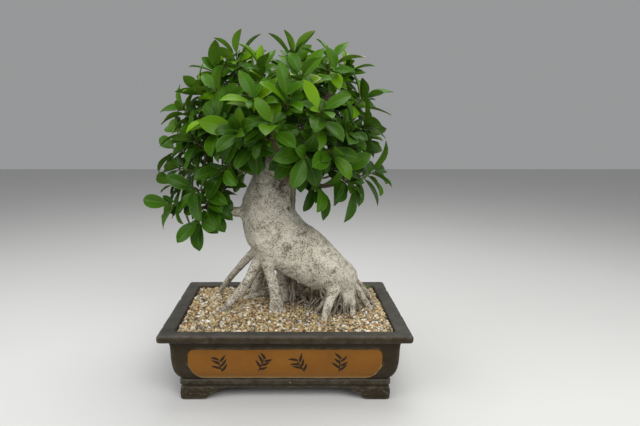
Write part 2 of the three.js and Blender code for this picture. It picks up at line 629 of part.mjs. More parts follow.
// Every shoot gets its leaf of one rank before any gets the next.
// A leaf that finds no free place is left out.
function growLeaves() {
  const stemFences = stems.map((rings) => trianglesOf(skin(rings)));
  const woodFences = [rootLimbs(0)[0], ...branchLimbs, ...twigLimbs].map(trianglesOf);
  const stemWalls = stems.map((rings, index) => stemFaces(rings, shoots[index].heading));
  const grown = shoots.map(() => []);
  // A leaf keeps clear of all wood and of every other leaf.
  const isFree = (blade, faces, own) => !grown.some((leaves) => leaves.some((other) => (
    crosses(blade, other.fence) || crosses(faces, other.faces))))
    && !woodFences.some((other) => crosses(blade, other))
    && !stemFences.some((other, index) => index !== own && (crosses(blade, other) || crosses(faces, other)));
  // It crosses neither itself nor its own stem.
  const isWhole = ({ level, side }, faces, own) => !crosses(faces, faces)
    && !crosses(faces, bundle(stemWalls[own].filter((wall) => wall.level !== level || wall.side !== side)));
  for (let rank = 0; rank < leavesPerShoot; rank += 1) {
    for (const item of shoots) {
      const draw = seeded(1000 + item.index * 40 + rank);
      for (let attempt = 0; attempt < leaf.tries; attempt += 1) {
        const spec = tryLeaf(item, rank, attempt, draw);
        const faces = leafFaces(spec);
        if (isWhole(spec, faces, item.index) && isFree(fence(spec, leaf.clear), faces, item.index)) {
          grown[item.index].push({ ...spec, faces, fence: fence(spec, 0) });
          break;
        }
      }
    }
  }
  return grown;
}

// One closed skin: the stem's internodes, with each leaf drawn out of the face that it grows from.
function shootGeometry(rings, leaves, heading) {
  const points = rings.flat();
  const faces = [];
  const wall = (from, to) => from.forEach((a, k) => {
    const next = (k + 1) % from.length;
    faces.push(a, from[next], to[next], a, to[next], to[k]);
  });
  const cone = (loop, tip) => loop.forEach((a, k) => faces.push(a, loop[(k + 1) % loop.length], tip));
  for (let level = 0; level < shoot.internodes; level += 1) {
    for (let side = 0; side < 3; side += 1) {
      const a = level * 3 + side;
      const b = level * 3 + ((side + 1) % 3);
      const spec = leaves.find((one) => one.level === level && one.side === side);
      if (spec) {
        let loop = [a, b, b + 3, a + 3];
        for (const ring of spec.sections) {
          const next = ring.map((p) => points.push(p) - 1);
          wall(loop, next);
          loop = next;
        }
        cone(loop, points.push(spec.tip) - 1);
      } else {
        faces.push(a, b, b + 3, a, b + 3, a + 3);
      }
    }
  }
  const last = shoot.internodes * 3;
  cone([last, last + 1, last + 2], points.push(budOf(rings, heading)) - 1);
  faces.push(0, 2, 1);
  return geometryFrom(points, faces);
}

const leaves = growLeaves();
shoots.forEach(({ index, heading, isYoung }) => {
  const number = String(index + 1).padStart(2, '0');
  const shade = isYoung ? 'youngLeaf' : 'grownLeaf';
  add(`leafy_shoot_${number}`, solidOf(shootGeometry(stems[index], leaves[index], heading)), shade);
});

// The origin goes under the middle of the outline, on the surface that the feet stand on.
const whole = new THREE.Box3().setFromObject(bonsai);
const middle = whole.getCenter(new THREE.Vector3());
bonsai.position.set(-middle.x, -middle.y, -whole.min.z);

export default bonsai;
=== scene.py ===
# Chinese banyan bonsai (Ficus microcarpa) in its stoneware pot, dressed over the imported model.
import math
import random

import bmesh
import bpy
import numpy as np
from mathutils import Matrix, Vector, noise
from mathutils.bvhtree import BVHTree


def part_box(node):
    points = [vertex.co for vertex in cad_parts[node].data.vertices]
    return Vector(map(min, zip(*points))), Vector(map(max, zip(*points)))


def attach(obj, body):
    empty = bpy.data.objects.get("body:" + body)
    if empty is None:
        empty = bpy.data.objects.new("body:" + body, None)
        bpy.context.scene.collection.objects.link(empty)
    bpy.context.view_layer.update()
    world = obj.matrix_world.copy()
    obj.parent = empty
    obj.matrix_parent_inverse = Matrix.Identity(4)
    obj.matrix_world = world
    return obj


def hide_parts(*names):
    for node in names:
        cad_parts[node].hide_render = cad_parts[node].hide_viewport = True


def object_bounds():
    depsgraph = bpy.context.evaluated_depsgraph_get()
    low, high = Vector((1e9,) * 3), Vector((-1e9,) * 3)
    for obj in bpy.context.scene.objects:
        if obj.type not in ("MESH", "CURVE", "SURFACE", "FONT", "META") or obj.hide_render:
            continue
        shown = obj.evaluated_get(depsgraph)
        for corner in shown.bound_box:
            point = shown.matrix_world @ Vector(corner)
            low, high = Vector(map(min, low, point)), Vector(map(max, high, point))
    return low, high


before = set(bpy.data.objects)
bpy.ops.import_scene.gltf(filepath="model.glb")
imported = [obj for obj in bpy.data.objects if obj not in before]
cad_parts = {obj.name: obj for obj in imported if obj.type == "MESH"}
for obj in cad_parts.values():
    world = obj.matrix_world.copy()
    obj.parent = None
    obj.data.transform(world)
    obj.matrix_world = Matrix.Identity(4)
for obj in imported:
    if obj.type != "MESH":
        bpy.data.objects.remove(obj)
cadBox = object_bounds()
scene = bpy.context.scene
print("frame loaded:", len(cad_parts), "solids")

potLow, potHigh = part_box("pot")
potMiddle = (potLow + potHigh) / 2
mm = 0.001


def at(x, y, z):  # millimetres from the middle of the pot, and up from the table
    return Vector((potMiddle.x + x * mm, potMiddle.y + y * mm, z * mm))


def inMillimetres(place):  # the way back from metres
    return (place.x - potMiddle.x) / mm, (place.y - potMiddle.y) / mm, place.z / mm


# Camera, at the photograph's viewing angle

photoView = {"place": (11, -892, 450), "pitch": 10.1, "lens": 29.08, "shift": 0.0439}

cameraData = bpy.data.cameras.new("camera")
cameraData.lens = photoView["lens"]
cameraData.shift_x = photoView["shift"]
cameraData.clip_start = 0.01
camera = bpy.data.objects.new("camera", cameraData)
camera.location = at(*photoView["place"])
camera.rotation_euler = (math.radians(90 - photoView["pitch"]), 0, 0)
scene.collection.objects.link(camera)
scene.camera = camera
print("camera set")


# Small helpers for shapes

def between(a, b, share):
    return a + (b - a) * share


def eased(share):
    share = min(max(share, 0.0), 1.0)
    return share * share * (3 - 2 * share)


def noiseAt(x, y, z=0.0):  # even noise, from -1 to 1
    return noise.noise(Vector((x, y, z)))


def lumpy(place, size, seed=0.0):  # the same at a place in metres, with lumps about size millimetres across
    return noise.noise(Vector((place.x, place.y, place.z + seed)) / (size * mm))


def finishPiece(name, mesh, materials, nodes=(), sharpAngle=None):
    mesh.name = name
    for material in materials:
        mesh.materials.append(material)
    mesh.shade_smooth()
    if sharpAngle is not None:
        mesh.set_sharp_from_angle(angle=math.radians(sharpAngle))
    piece = bpy.data.objects.new(name, mesh)
    scene.collection.objects.link(piece)
    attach(piece, "root")
    if nodes:
        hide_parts(*nodes)


def meshFrom(bm, turnOut=True):
    if turnOut:
        bmesh.ops.recalc_face_normals(bm, faces=bm.faces)
    mesh = bpy.data.meshes.new("mesh")
    bm.to_mesh(mesh)
    bm.free()
    return mesh


def withModifier(mesh, kind, **settings):  # the mesh with one modifier applied
    carrier = bpy.data.objects.new("carrier", mesh)
    scene.collection.objects.link(carrier)
    modifier = carrier.modifiers.new("shape", kind)
    for key, value in settings.items():
        setattr(modifier, key, value)
    made = bpy.data.meshes.new_from_object(carrier.evaluated_get(bpy.context.evaluated_depsgraph_get()))
    bpy.data.objects.remove(carrier)
    return made


def vertsOf(geometry):
    return [part for part in geometry if isinstance(part, bmesh.types.BMVert)]


def facesOn(verts):
    return list({face for vert in verts for face in vert.link_faces})


def drawnOut(bm, verts):  # the faces on these corners extruded, with the corners of the new layer
    return vertsOf(bmesh.ops.extrude_face_region(bm, geom=facesOn(verts))["geom"])


def faceTree(mesh):  # a mesh's faces, made ready for finding near ones
    corners = [vert.co.copy() for vert in mesh.vertices]
    return BVHTree.FromPolygons(corners, [list(face.vertices) for face in mesh.polygons])


def smoothRoute(route, steps):  # a smooth line through the route's x, y, z, radius, in millimetres
    points = [Vector(point) for point in route]
    points = [points[0] * 2 - points[1]] + points + [points[-1] * 2 - points[-2]]
    line = []
    for k in range(1, len(points) - 2):
        a, b, c, d = points[k - 1:k + 3]
        for step in range(steps):
            s = step / steps
            line.append(0.5 * (2 * b + (c - a) * s + (2 * a - 5 * b + 4 * c - d) * s ** 2
                               + (3 * b - a - 3 * c + d) * s ** 3))
    line.append(points[-2])
    return line


def drawRings(bm, sides, rings, placeOf):  # a closed skin; placeOf(ring, corner) gives millimetres
    number = bm.verts.layers.int.get("number") or bm.verts.layers.int.new("number")
    verts = bmesh.ops.create_circle(bm, segments=sides, radius=1)["verts"]
    for k, vert in enumerate(verts):
        vert[number] = k
    ends = []
    for ring in range(rings):
        for vert in verts:
            vert.co = at(*placeOf(ring, vert[number]))
        inRing = set(verts)
        rim = list({edge for vert in verts for edge in vert.link_edges if edge.other_vert(vert) in inRing})
        if ring in (0, rings - 1):
            ends.append(rim)
        if ring < rings - 1:
            verts = vertsOf(bmesh.ops.extrude_edge_only(bm, edges=rim)["geom"])
    for rim in ends:
        bmesh.ops.contextual_create(bm, geom=rim)


def sweep(bm, line, sides, depth=1.0, form=None):  # a closed tube along x, y, z, radius
    line = [Vector(point) for point in line]
    last = len(line) - 1
    centres = [point.to_3d() for point in line]
    across = Vector((0, 1, 0))
    if abs((centres[1] - centres[0]).normalized().y) > 0.9:
        across = Vector((1, 0, 0))
    frames = []
    for step in range(last + 1):
        heading = (centres[min(step + 1, last)] - centres[max(step - 1, 0)]).normalized()
        across = (across - heading * across.dot(heading)).normalized()
        frames.append((across.cross(heading), across))

    def placeOf(step, corner):
        side, across = frames[step]
        angle = corner / sides * math.tau
        reach = line[step][3] * (form(angle, step / last) if form else 1)
        return centres[step] + side * math.cos(angle) * reach + across * math.sin(angle) * reach * depth
    drawRings(bm, sides, last + 1, placeOf)


def manyOf(faces, copies):  # one mesh from the moved corners of many copies of a shape
    corners = len(copies[0])
    sizes = np.array([len(face) for face in faces])
    loops = np.concatenate([np.array(face) for face in faces])
    steps = np.arange(len(copies))[:, None]
    starts = np.concatenate([[0], np.cumsum(sizes)[:-1]])
    mesh = bpy.data.meshes.new("mesh")
    mesh.vertices.add(corners * len(copies))
    mesh.vertices.foreach_set("co", np.concatenate(copies).astype(np.float32).ravel())
    mesh.loops.add(len(loops) * len(copies))
    mesh.loops.foreach_set("vertex_index", (loops + steps * corners).astype(np.int32).ravel())
    mesh.polygons.add(len(sizes) * len(copies))
    mesh.polygons.foreach_set("loop_start", (starts + steps * len(loops)).astype(np.int32).ravel())
    mesh.update(calc_edges=True)
    return mesh


# Helpers for materials, which find their node tree by the sockets that they are given

def node(tree, kind, inputs=None, **settings):
    made = tree.nodes.new("ShaderNode" + kind)
    for key, value in settings.items():
        setattr(made, key, value)
    for key, value in (inputs or {}).items():
        if isinstance(value, bpy.types.NodeSocket):
            tree.links.new(value, made.inputs[key])
        else:
            made.inputs[key].default_value = value
    return made


def mathOf(operation, a, b=0.5, clamp=False):
    tree = (a if isinstance(a, bpy.types.NodeSocket) else b).id_data
    return node(tree, "Math", {0: a, 1: b}, operation=operation, use_clamp=clamp).outputs[0]


def plus(a, b, clamp=False):
    return mathOf("ADD", a, b, clamp)


def minus(a, b, clamp=False):
    return mathOf("SUBTRACT", a, b, clamp)


def times(a, b, clamp=False):
    return mathOf("MULTIPLY", a, b, clamp)


def over(a, b, clamp=False):
    return mathOf("DIVIDE", a, b, clamp)


def larger(a, b):
    return mathOf("MAXIMUM", a, b)


def remap(value, low, high, newLow=0.0, newHigh=1.0):
    return node(value.id_data, "MapRange", {0: value, 1: low, 2: high, 3: newLow, 4: newHigh}).outputs[0]


def mixValues(share, a, b):
    return node(share.id_data, "Mix", {0: share, 2: a, 3: b}, data_type="FLOAT").outputs[0]


def mixColors(share, a, b):
    return node(share.id_data, "Mix", {0: share, 6: a, 7: b}, data_type="RGBA").outputs[2]


def partsOf(value, kind="XYZ"):
    return node(value.id_data, "Separate" + kind, {0: value}).outputs


def objectPlace(tree):
    return node(tree, "TexCoord").outputs["Object"]


def noiseOf(vector, scale, detail, roughness):
    inputs = {"Vector": vector, "Scale": scale, "Detail": detail, "Roughness": roughness}
    return node(vector.id_data, "TexNoise", inputs).outputs[0]


def ownValue(tree, name, output="Fac"):  # what the mesh itself holds under a name
    return node(tree, "Attribute", attribute_name=name).outputs[output]


def effect(name, inputs, output):  # a new group of nodes with one output, and its inner sockets
    group = bpy.data.node_groups.new(name, "ShaderNodeTree")
    for label, value in inputs.items():
        made = group.interface.new_socket(name=label, in_out="INPUT", socket_type="NodeSocketFloat")
        made.default_value = value
    group.interface.new_socket(name=output, in_out="OUTPUT", socket_type="NodeSocketFloat")
    return group, group.nodes.new("NodeGroupInput").outputs, group.nodes.new("NodeGroupOutput").inputs[output]


def useEffect(tree, group, **inputs):
    return node(tree, "Group", inputs, node_tree=group).outputs[0]


def newMaterial(name, roughness, gloss=0.5):
    material = bpy.data.materials.new(name)
    material.use_nodes = True
    shader = material.node_tree.nodes["Principled BSDF"]
    shader.inputs["Roughness"].default_value = roughness
    shader.inputs["Specular IOR Level"].default_value = gloss
    return material, material.node_tree, shader


def wire(shader, tint, bump=None, rough=None):  # bump is a height, how strong it is, and how deep in metres
    tree = shader.id_data
    tree.links.new(tint, shader.inputs["Base Color"])
    if bump:
        made = node(tree, "Bump", {"Height": bump[0], "Strength": bump[1], "Distance": bump[2]})
        tree.links.new(made.outputs[0], shader.inputs["Normal"])
    if rough:
        tree.links.new(rough, shader.inputs["Roughness"])


# Shared effects

# Fine dark or pale specks: each cell of a pattern holds one, some cells none.
specks, given, result = effect("specks", {"Size": 0.002, "Cover": 0.4, "Softness": 0.25}, "Mask")
cellScale = over(1.0, given["Size"])
cells = node(specks, "TexVoronoi", {"Vector": objectPlace(specks), "Scale": cellScale, "Randomness": 1.0})
lot = partsOf(cells.outputs["Color"], "Color")[0]
reach = times(minus(given["Cover"], lot, True), 1.1)
near = minus(reach, cells.outputs["Distance"])
specks.links.new(over(near, given["Softness"], True), result)

# Broad cloudy change over the surface, from 0 to 1.
clouds, given, result = effect("clouds", {"Size": 0.03, "Contrast": 2.0}, "Value")
field = noiseOf(objectPlace(clouds), over(1.0, given["Size"]), 4.0, 0.6)
pushed = times(minus(field, 0.5), given["Contrast"])
clouds.links.new(plus(pushed, 0.5, True), result)

# Dust and lime on what faces up.
settled, given, result = effect("settled dust", {"Amount": 1.0, "Size": 0.02}, "Mask")
facingUp = partsOf(node(settled, "NewGeometry").outputs["Normal"])[2]
patchy = useEffect(settled, clouds, Size=given["Size"], Contrast=2.5)
dusted = times(remap(facingUp, 0.35, 0.95), remap(patchy, 0, 1, 0.45, 1.0))
settled.links.new(times(dusted, given["Amount"], True), result)

# A grainy height, coarse and fine.
grain, given, result = effect("grain", {"Coarse": 0.004, "Fine": 0.0008, "Share": 0.5}, "Height")
coarse = noiseOf(objectPlace(grain), over(1.0, given["Coarse"]), 3.0, 0.55)
fine = noiseOf(objectPlace(grain), over(1.0, given["Fine"]), 2.0, 0.55)
grain.links.new(mixValues(given["Share"], coarse, fine), result)


def mottled(name, roughness, cloud, colors, grains=None, fleck=None, gloss=0.5):
    # Two colours in clouds of a size and contrast. Grains are coarse, fine, share, strength and depth, and
    # flecks have a size, a cover, a strength and a colour.
    material, tree, shader = newMaterial(name, roughness, gloss)
    tint = mixColors(useEffect(tree, clouds, Size=cloud[0], Contrast=cloud[1]), *colors)
    if fleck:
        size, cover, strength, color = fleck
        flecks = useEffect(tree, specks, Size=size, Cover=cover, Softness=0.2)
        tint = mixColors(times(flecks, strength), tint, color)
    bump = None
    if grains:
        bump = (useEffect(tree, grain, Coarse=grains[0], Fine=grains[1], Share=grains[2]), *grains[3:])
    wire(shader, tint, bump)
    return material


print("shared effects made")


# Pot: one piece of unglazed stoneware, with a wide flat rim, a stepped base band and four carved bracket feet

pot = {
    "halfX": 200, "halfY": 140, "corner": 5,
    "cell": 5,  # spacing of the mesh along the walls
    # In from the rim's edge, and height: up the outside and over the lip, then down inside to the floor.
    "outside": [
        (60, 20), (31.6, 20), (31, 20.6), (31, 25.4), (30.4, 26), (28.5, 27.1), (28, 27.8), (28, 34.2),
        (28.5, 34.8), (31, 35.6), (31.2, 36.2), (29.5, 38.2), (26, 42), (23.2, 47), (21, 52), (19, 60),
        (18, 67), (17.3, 75), (17, 83), (16.8, 91), (16.4, 98), (15.6, 102), (14, 106), (12, 108.6),
        (9, 109.6), (3, 109.9), (1.2, 110.4), (0.2, 112), (0, 114), (0, 117.5), (0.4, 119.6), (1.8, 121.3),
        (4, 122),
    ],
    "inside": [
        (8, 121.9), (14, 121.6), (20, 121.4), (22, 121), (23.6, 119.8), (24.5, 117.6), (25.5, 111),
        (26.5, 104), (30, 75), (33, 46), (35.5, 36), (38, 31), (46, 30), (90, 30),
    ],
    "wobble": 0.55,  # hand-made unevenness of the walls and of the lip
    "chips": 1.6, "chipRarity": 0.42,  # depth of the knocks along the lip, and how rare they are
    "holes": (90, 10),  # drain holes: how far from the middle, and radius
    "clay": (0.034, 0.024, 0.0105, 1), "clayDark": (0.018, 0.0125, 0.0052, 1),
    "sandColor": (0.085, 0.072, 0.052, 1), "dustColor": (0.094, 0.092, 0.083, 1),
    # the last colour is rubbed wear on the edges and also a painted highlight there
    "limeColor": (0.3, 0.29, 0.26, 1), "edgeWearAndHighlightColor": (0.17, 0.155, 0.12, 1),
    "roughness": 0.62, "gloss": 0.18, "grainHeight": 0.0008,
}
panel = {  # the glazed panel's outline on the front wall, and how finely it is laid out
    "halfWidth": 155, "bottom": 38.5, "top": 93, "lowCorner": 28, "highCorner": 9, "uneven": 0.7,
    "recess": 1.3, "play": 0.45, "columns": 120, "rows": 16,
}


def wallInset(z):  # how far the outside wall lies in from the rim's edge
    wall = [point for point in pot["outside"] if 38 < point[1] < 109]
    for (insetA, zA), (insetB, zB) in zip(wall, wall[1:]):
        if zA <= z <= zB:
            return between(insetA, insetB, (z - zA) / (zB - zA))
    return wall[0][0] if z < wall[0][1] else wall[-1][0]


def frontAt(z, out):  # y of the front wall at a height, and out of it
    return -(pot["halfY"] - wallInset(z)) - out


def ringSpots():  # places round the pot: a corner, the turn round it, and the way along the wall that follows
    counts = [int(2 * half / pot["cell"]) for half in (pot["halfX"], pot["halfY"])]
    spots = []
    for corner in range(4):
        count = counts[corner % 2]
        spots += [(corner, step / 4, 0) for step in range(5)]
        spots += [(corner, 1, step / count) for step in range(1, count)]
    return spots


def ringPlace(spot, inset, z):
    corner, turn, along = spot

    def onCorner(corner, turn):
        signX, signY = ((1, 1), (-1, 1), (-1, -1), (1, -1))[corner % 4]
        straightX, straightY = (pot[half] - inset - pot["corner"] for half in ("halfX", "halfY"))
        angle = (corner + turn) * math.pi / 2
        return Vector((signX * straightX + pot["corner"] * math.cos(angle),
                       signY * straightY + pot["corner"] * math.sin(angle), z))
    start = onCorner(corner, turn)
    return start.lerp(onCorner(corner + 1, 0), along) if along else start


def panelPlace(u, v, grow=0.0):  # a place on the glazed panel, u and v from -1 to 1, as x and z
    halfWidth = panel["halfWidth"] + grow
    x = halfWidth * math.copysign(1 - (1 - abs(u)) ** 1.5, u)
    rest = halfWidth - abs(x)
    bottom = panel["bottom"] - grow + panel["lowCorner"] * max(0, 1 - rest / panel["lowCorner"]) ** 2.3
    top = panel["top"] + grow - panel["highCorner"] * max(0, 1 - rest / panel["highCorner"]) ** 2.5
    bottom += panel["uneven"] * noiseAt(x * 0.03, 1.5)
    top += panel["uneven"] * noiseAt(x * 0.03, 7.5)
    return x, between(bottom, top, (v + 1) / 2)


def panelSheet(bm, grow, lift, thick):  # a closed slab that follows the front wall inside the panel's outline
    verts = bmesh.ops.create_grid(bm, x_segments=panel["columns"], y_segments=panel["rows"], size=1)["verts"]
    for vert in verts:
        x, z = panelPlace(vert.co.x, vert.co.y, grow)
        straight = abs(x) < panel["halfWidth"] - 25
        fromBottom = z - panel["bottom"] if straight else panel["highCorner"]
        edge = min(panel["halfWidth"] - abs(x), fromBottom, panel["top"] - z)
        rounded = lift * eased((edge + 0.6) / 2.2) if grow <= 0 else lift
        vert.co = at(x, frontAt(z, rounded), z)
    for vert in drawnOut(bm, verts):
        vert.co.y += thick * mm


ringOfSpots = ringSpots()
profile = pot["outside"] + pot["inside"]


def potPlace(level, number):
    inset, z = profile[level]
    place = ringPlace(ringOfSpots[number], inset, z)
    # One or nought each way, by the walls that the place belongs to.
    outward = Vector((round(place.x / pot["halfX"] * 0.53), round(place.y / pot["halfY"] * 0.53), 0))
    wave = noise.noise(place * 0.018) + 0.4 * noise.noise(place * 0.06)
    lip = eased((z - 106) / 6)
    place += outward * wave * pot["wobble"] * (0.5 + 0.7 * lip)
    place.z += 0.5 * pot["wobble"] * lip * noiseAt(place.x * 0.02, place.y * 0.02, 6)
    knock = noiseAt(place.x * 0.075 + 3.1, place.y * 0.075, place.z * 0.045) - pot["chipRarity"]
    if 109 < z < 122.5 and inset < 5 and knock > 0:
        place -= outward * knock * 4 * pot["chips"]
        place.z -= knock * 2.5 * pot["chips"] * (z > 116)
    return place


potBody = bmesh.new()
drawRings(potBody, len(ringOfSpots), len(profile), potPlace)

# The panel's recess and the two drain holes are cut out.
cutter = bmesh.new()
panelSheet(cutter, panel["play"], 6, 6 + panel["recess"])
holeX, holeRadius = pot["holes"]
for side in (-1, 1):
    hole = bmesh.ops.create_cone(cutter, cap_ends=True, segments=28, radius1=holeRadius * mm,
                                 radius2=holeRadius * mm, depth=30 * mm)["verts"]
    bmesh.ops.translate(cutter, verts=hole, vec=at(holeX * side, 0, 25))
cutterPiece = bpy.data.objects.new("cutter", meshFrom(cutter))
scene.collection.objects.link(cutterPiece)
potMesh = withModifier(meshFrom(potBody), "BOOLEAN", operation="DIFFERENCE", solver="EXACT",
                       object=cutterPiece)
bpy.data.objects.remove(cutterPiece)

foot = {
    "halfX": 171.5, "halfY": 111.5, "height": 21, "tread": 27, "thick": 16, "reachX": 76, "reachY": 61,
    "arch": [(0.52, 1.2), (0.68, 10.5), (0.8, 15)],  # of the underside: share of the reach, and height
    "relief": 1.1, "rough": 0.35, "swell": 1.3, "tuck": 1.2, "corner": 1.6,
    "intoBand": 0.6, "columns": 55, "rows": 10,
}


def footUnderside(way, reach):  # height of an arm's underside, at a distance from the corner
    if way < foot["tread"]:
        return 0
    bends = [(reach * share, z) for share, z in foot["arch"]]
    arch = [(foot["tread"], 0)] + bends + [(reach, foot["height"])]
    for (wayA, zA), (wayB, zB) in zip(arch, arch[1:]):
        if wayA <= way <= wayB:
            share = (way - wayA) / (wayB - wayA)
            return between(zA, zB, eased(share) if wayB < reach else share)
    return foot["height"]


def carving(way, up, underside):  # relief of the foot's face: a rim along its edge, and a cloud scroll
    border = 0.9 * math.exp(-((up - underside - 2.2) / 1.5) ** 2)
    roll = math.hypot(way - 16, up - 11) / 3.1
    scroll = 0.4 * math.cos(roll * math.pi * 0.8) * math.exp(-(roll / 2.6) ** 2)
    trail = 0.3 * math.cos((up - 12 - 3 * math.sin(way * 0.11)) * 0.8) * eased((way - 20) / 10)
    rough = noiseAt(way * 0.16, up * 0.2, 3) + 0.5 * noiseAt(way * 0.4, up * 0.45, 8)
    return border + scroll + trail + rough * 0.9


feet = bmesh.new()
for signX, signY in ((1, 1), (-1, 1), (-1, -1), (1, -1)):
    verts = bmesh.ops.create_grid(feet, x_segments=foot["columns"], y_segments=foot["rows"], size=1)["verts"]
    backs = {}
    for vert in verts:
        share = (vert.co.y + 1) / 2
        way = between(-foot["reachX"], foot["reachY"], (vert.co.x + 1) / 2)
        alongX = way < 0
        reach = foot["reachX"] if alongX else foot["reachY"]
        underside = footUnderside(abs(way), reach)
        up = between(underside, foot["height"] + foot["intoBand"], share)
        lift = foot["relief"] * (carving(abs(way), up, underside) - 0.8)
        lift += foot["rough"] * noiseAt(way * 0.25 + 40 * signX, up * 0.3, 9 * signY)
        lift += foot["swell"] * math.sin(math.pi * min(max(up / foot["height"], 0), 1))
        lift -= foot["tuck"] * (1 - eased(up / 3.5))
        corner = foot["corner"] * math.exp(-(way / 2.6) ** 2)
        x = foot["halfX"] - max(-way, 0) - corner + (0 if alongX else lift)
        y = foot["halfY"] - max(way, 0) - corner + (lift if alongX else 0)
        vert.co = at(signX * x, signY * y, up)
        # The same spot on the back of the arm, which starts further from the corner.
        back = between(foot["thick"], reach, abs(way) / reach)
        up = between(footUnderside(back, reach), foot["height"] + foot["intoBand"], share)
        inX, inY = (back, foot["thick"]) if alongX else (foot["thick"], back)
        backs[vert.co.copy().freeze()] = at(signX * (foot["halfX"] - inX), signY * (foot["halfY"] - inY), up)
    faces = facesOn(verts)
    bmesh.ops.recalc_face_normals(feet, faces=faces)
    if sum((face.normal for face in faces), Vector()).dot(Vector((signX, signY, 0))) < 0:
        bmesh.ops.reverse_faces(feet, faces=faces)
    for vert in drawnOut(feet, verts):
        vert.co = backs[vert.co.copy().freeze()]

whole = bmesh.new()
whole.from_mesh(potMesh)
whole.from_mesh(meshFrom(feet))
potMesh = meshFrom(whole, False)

# Wear and a painted highlight go by how far a corner stands out of its surroundings.
wearAndHighlight = np.zeros(len(potMesh.vertices))
counts = np.zeros(len(potMesh.vertices))
normals = np.array([vert.normal for vert in potMesh.vertices])
places = np.array([vert.co for vert in potMesh.vertices])
ends = np.array([edge.vertices for edge in potMesh.edges])
lean = places[ends[:, 1]] - places[ends[:, 0]]
length = np.maximum(np.linalg.norm(lean, axis=1), 1e-6)
for here, sign in ((0, 1), (1, -1)):
    np.add.at(wearAndHighlight, ends[:, here], -(normals[ends[:, here]] * lean * sign).sum(1) / length)
    np.add.at(counts, ends[:, here], 1)
wearAndHighlight = np.clip(wearAndHighlight / np.maximum(counts, 1) * 4, 0, 1)
potMesh.attributes.new("edgeWearAndHighlight", "FLOAT", "POINT").data.foreach_set("value", wearAndHighlight.astype(np.float32))

clay, tree, shader = newMaterial("stoneware", pot["roughness"], pot["gloss"])
cloudy = useEffect(tree, clouds, Size=0.045, Contrast=1.6)
tint = mixColors(cloudy, pot["clayDark"], pot["clay"])
sandy = useEffect(tree, specks, Size=0.0022, Cover=0.35, Softness=0.3)
tint = mixColors(times(sandy, 0.4), tint, pot["sandColor"])
dusty = useEffect(tree, settled, Amount=0.85, Size=0.03)
tint = mixColors(dusty, tint, pot["dustColor"])
lime = useEffect(tree, specks, Size=0.0034, Cover=0.3, Softness=0.3)
tint = mixColors(times(times(lime, dusty), 0.6), tint, pot["limeColor"])
# Edges are paler where they stand out: partly real rubbed wear, partly a painted highlight.
rubbedAndHighlit = times(ownValue(tree, "edgeWearAndHighlight"), useEffect(tree, clouds, Size=0.012, Contrast=3.0))
tint = mixColors(times(rubbedAndHighlit, 0.5, True), tint, pot["edgeWearAndHighlightColor"])
rough = remap(cloudy, 0, 1, pot["roughness"] + 0.14, pot["roughness"] - 0.1)
height = useEffect(tree, grain, Coarse=0.0035, Fine=0.0009, Share=0.45)
wire(shader, tint, (height, 0.55, pot["grainHeight"]), rough)
finishPiece("stonewarePot", potMesh, [clay], ["pot"], 38)
print("pot made")


# Ochre glaze in the panel of the front wall, with four small painted sprigs

glaze = {
    "proud": 0.3, "thick": 1.35, "inset": 0.1, "bead": 0.55, "beadSteps": 96,
    "drop": (8, -112.2, 31), "dropRadius": 1.2,
    "ochre": (0.235, 0.094, 0.009, 1), "ochreDeep": (0.165, 0.062, 0.005, 1), "thin": (0.5, 0.36, 0.17, 1),
    "pitColor": (0.06, 0.03, 0.012, 1), "roughness": 0.42, "gloss": 0.2, "coat": 0.03, "coatRoughness": 0.25,
    "ink": (0.014, 0.012, 0.01, 1), "inkWorn": (0.0392, 0.0246, 0.0136, 1), "inkThick": 0.09,
    "sprigs": [(-103, 64, 0.2), (-37, 66, -0.5), (26, 64, 0.45), (88, 65, -0.15)],  # x, z, lean
    "sprigHalf": 14, "stalkWidth": 2.0,
    "leaves": 6, "leafStep": 4.2, "leafLength": (13, 17), "leafWidth": 4.4,
}

glazeShape = bmesh.new()
panelSheet(glazeShape, -glaze["inset"], glaze["proud"], glaze["thick"])

ochreGlaze, tree, shader = newMaterial("ochre glaze", glaze["roughness"], glaze["gloss"])
shader.inputs["Coat Weight"].default_value = glaze["coat"]
shader.inputs["Coat Roughness"].default_value = glaze["coatRoughness"]
cloudy = useEffect(tree, clouds, Size=0.05, Contrast=1.8)
tint = mixColors(cloudy, glaze["ochreDeep"], glaze["ochre"])
low = remap(partsOf(objectPlace(tree))[2], 0.046, panel["bottom"] * mm)
tint = mixColors(times(low, 0.5), tint, glaze["thin"])
pits = useEffect(tree, specks, Size=0.0026, Cover=0.28, Softness=0.2)
tint = mixColors(times(pits, 0.5), tint, glaze["pitColor"])
rough = remap(cloudy, 0, 1, glaze["roughness"] + 0.12, glaze["roughness"] - 0.06)
height = useEffect(tree, grain, Coarse=0.006, Fine=0.0012, Share=0.25)
wire(shader, tint, (height, 0.3, 0.0005), rough)
finishPiece("glazedPanel", meshFrom(glazeShape), [ochreGlaze], ["panel_glaze"], 50)

# A pale bead where the glaze ran thin, along the lower edge and up round its corners, and one drop below it.
beadLine = []
for step in range(glaze["beadSteps"] + 1):
    x, z = panelPlace(between(-0.999, 0.999, step / glaze["beadSteps"]), -0.995, -glaze["inset"])
    beadLine.append((x, frontAt(z, 0.05), z, glaze["bead"] * (0.75 + 0.5 * noiseAt(x * 0.06, 3))))
bead = bmesh.new()
sweep(bead, beadLine, 8)
dropPlace = Matrix.Translation(at(*glaze["drop"])) @ Matrix.Diagonal((1, 0.6, 1, 1))
bmesh.ops.create_icosphere(bead, subdivisions=2, radius=glaze["dropRadius"] * mm, matrix=dropPlace)
thinGlaze = mottled("thin pale glaze", 0.45, (0.012, 3.0), (glaze["ochre"], glaze["thin"]),
                    grains=(0.003, 0.0008, 0.4, 0.4, 0.0004), gloss=glaze["gloss"])
finishPiece("glazeBead", meshFrom(bead), [thinGlaze], (), 60)

strokes = bmesh.new()


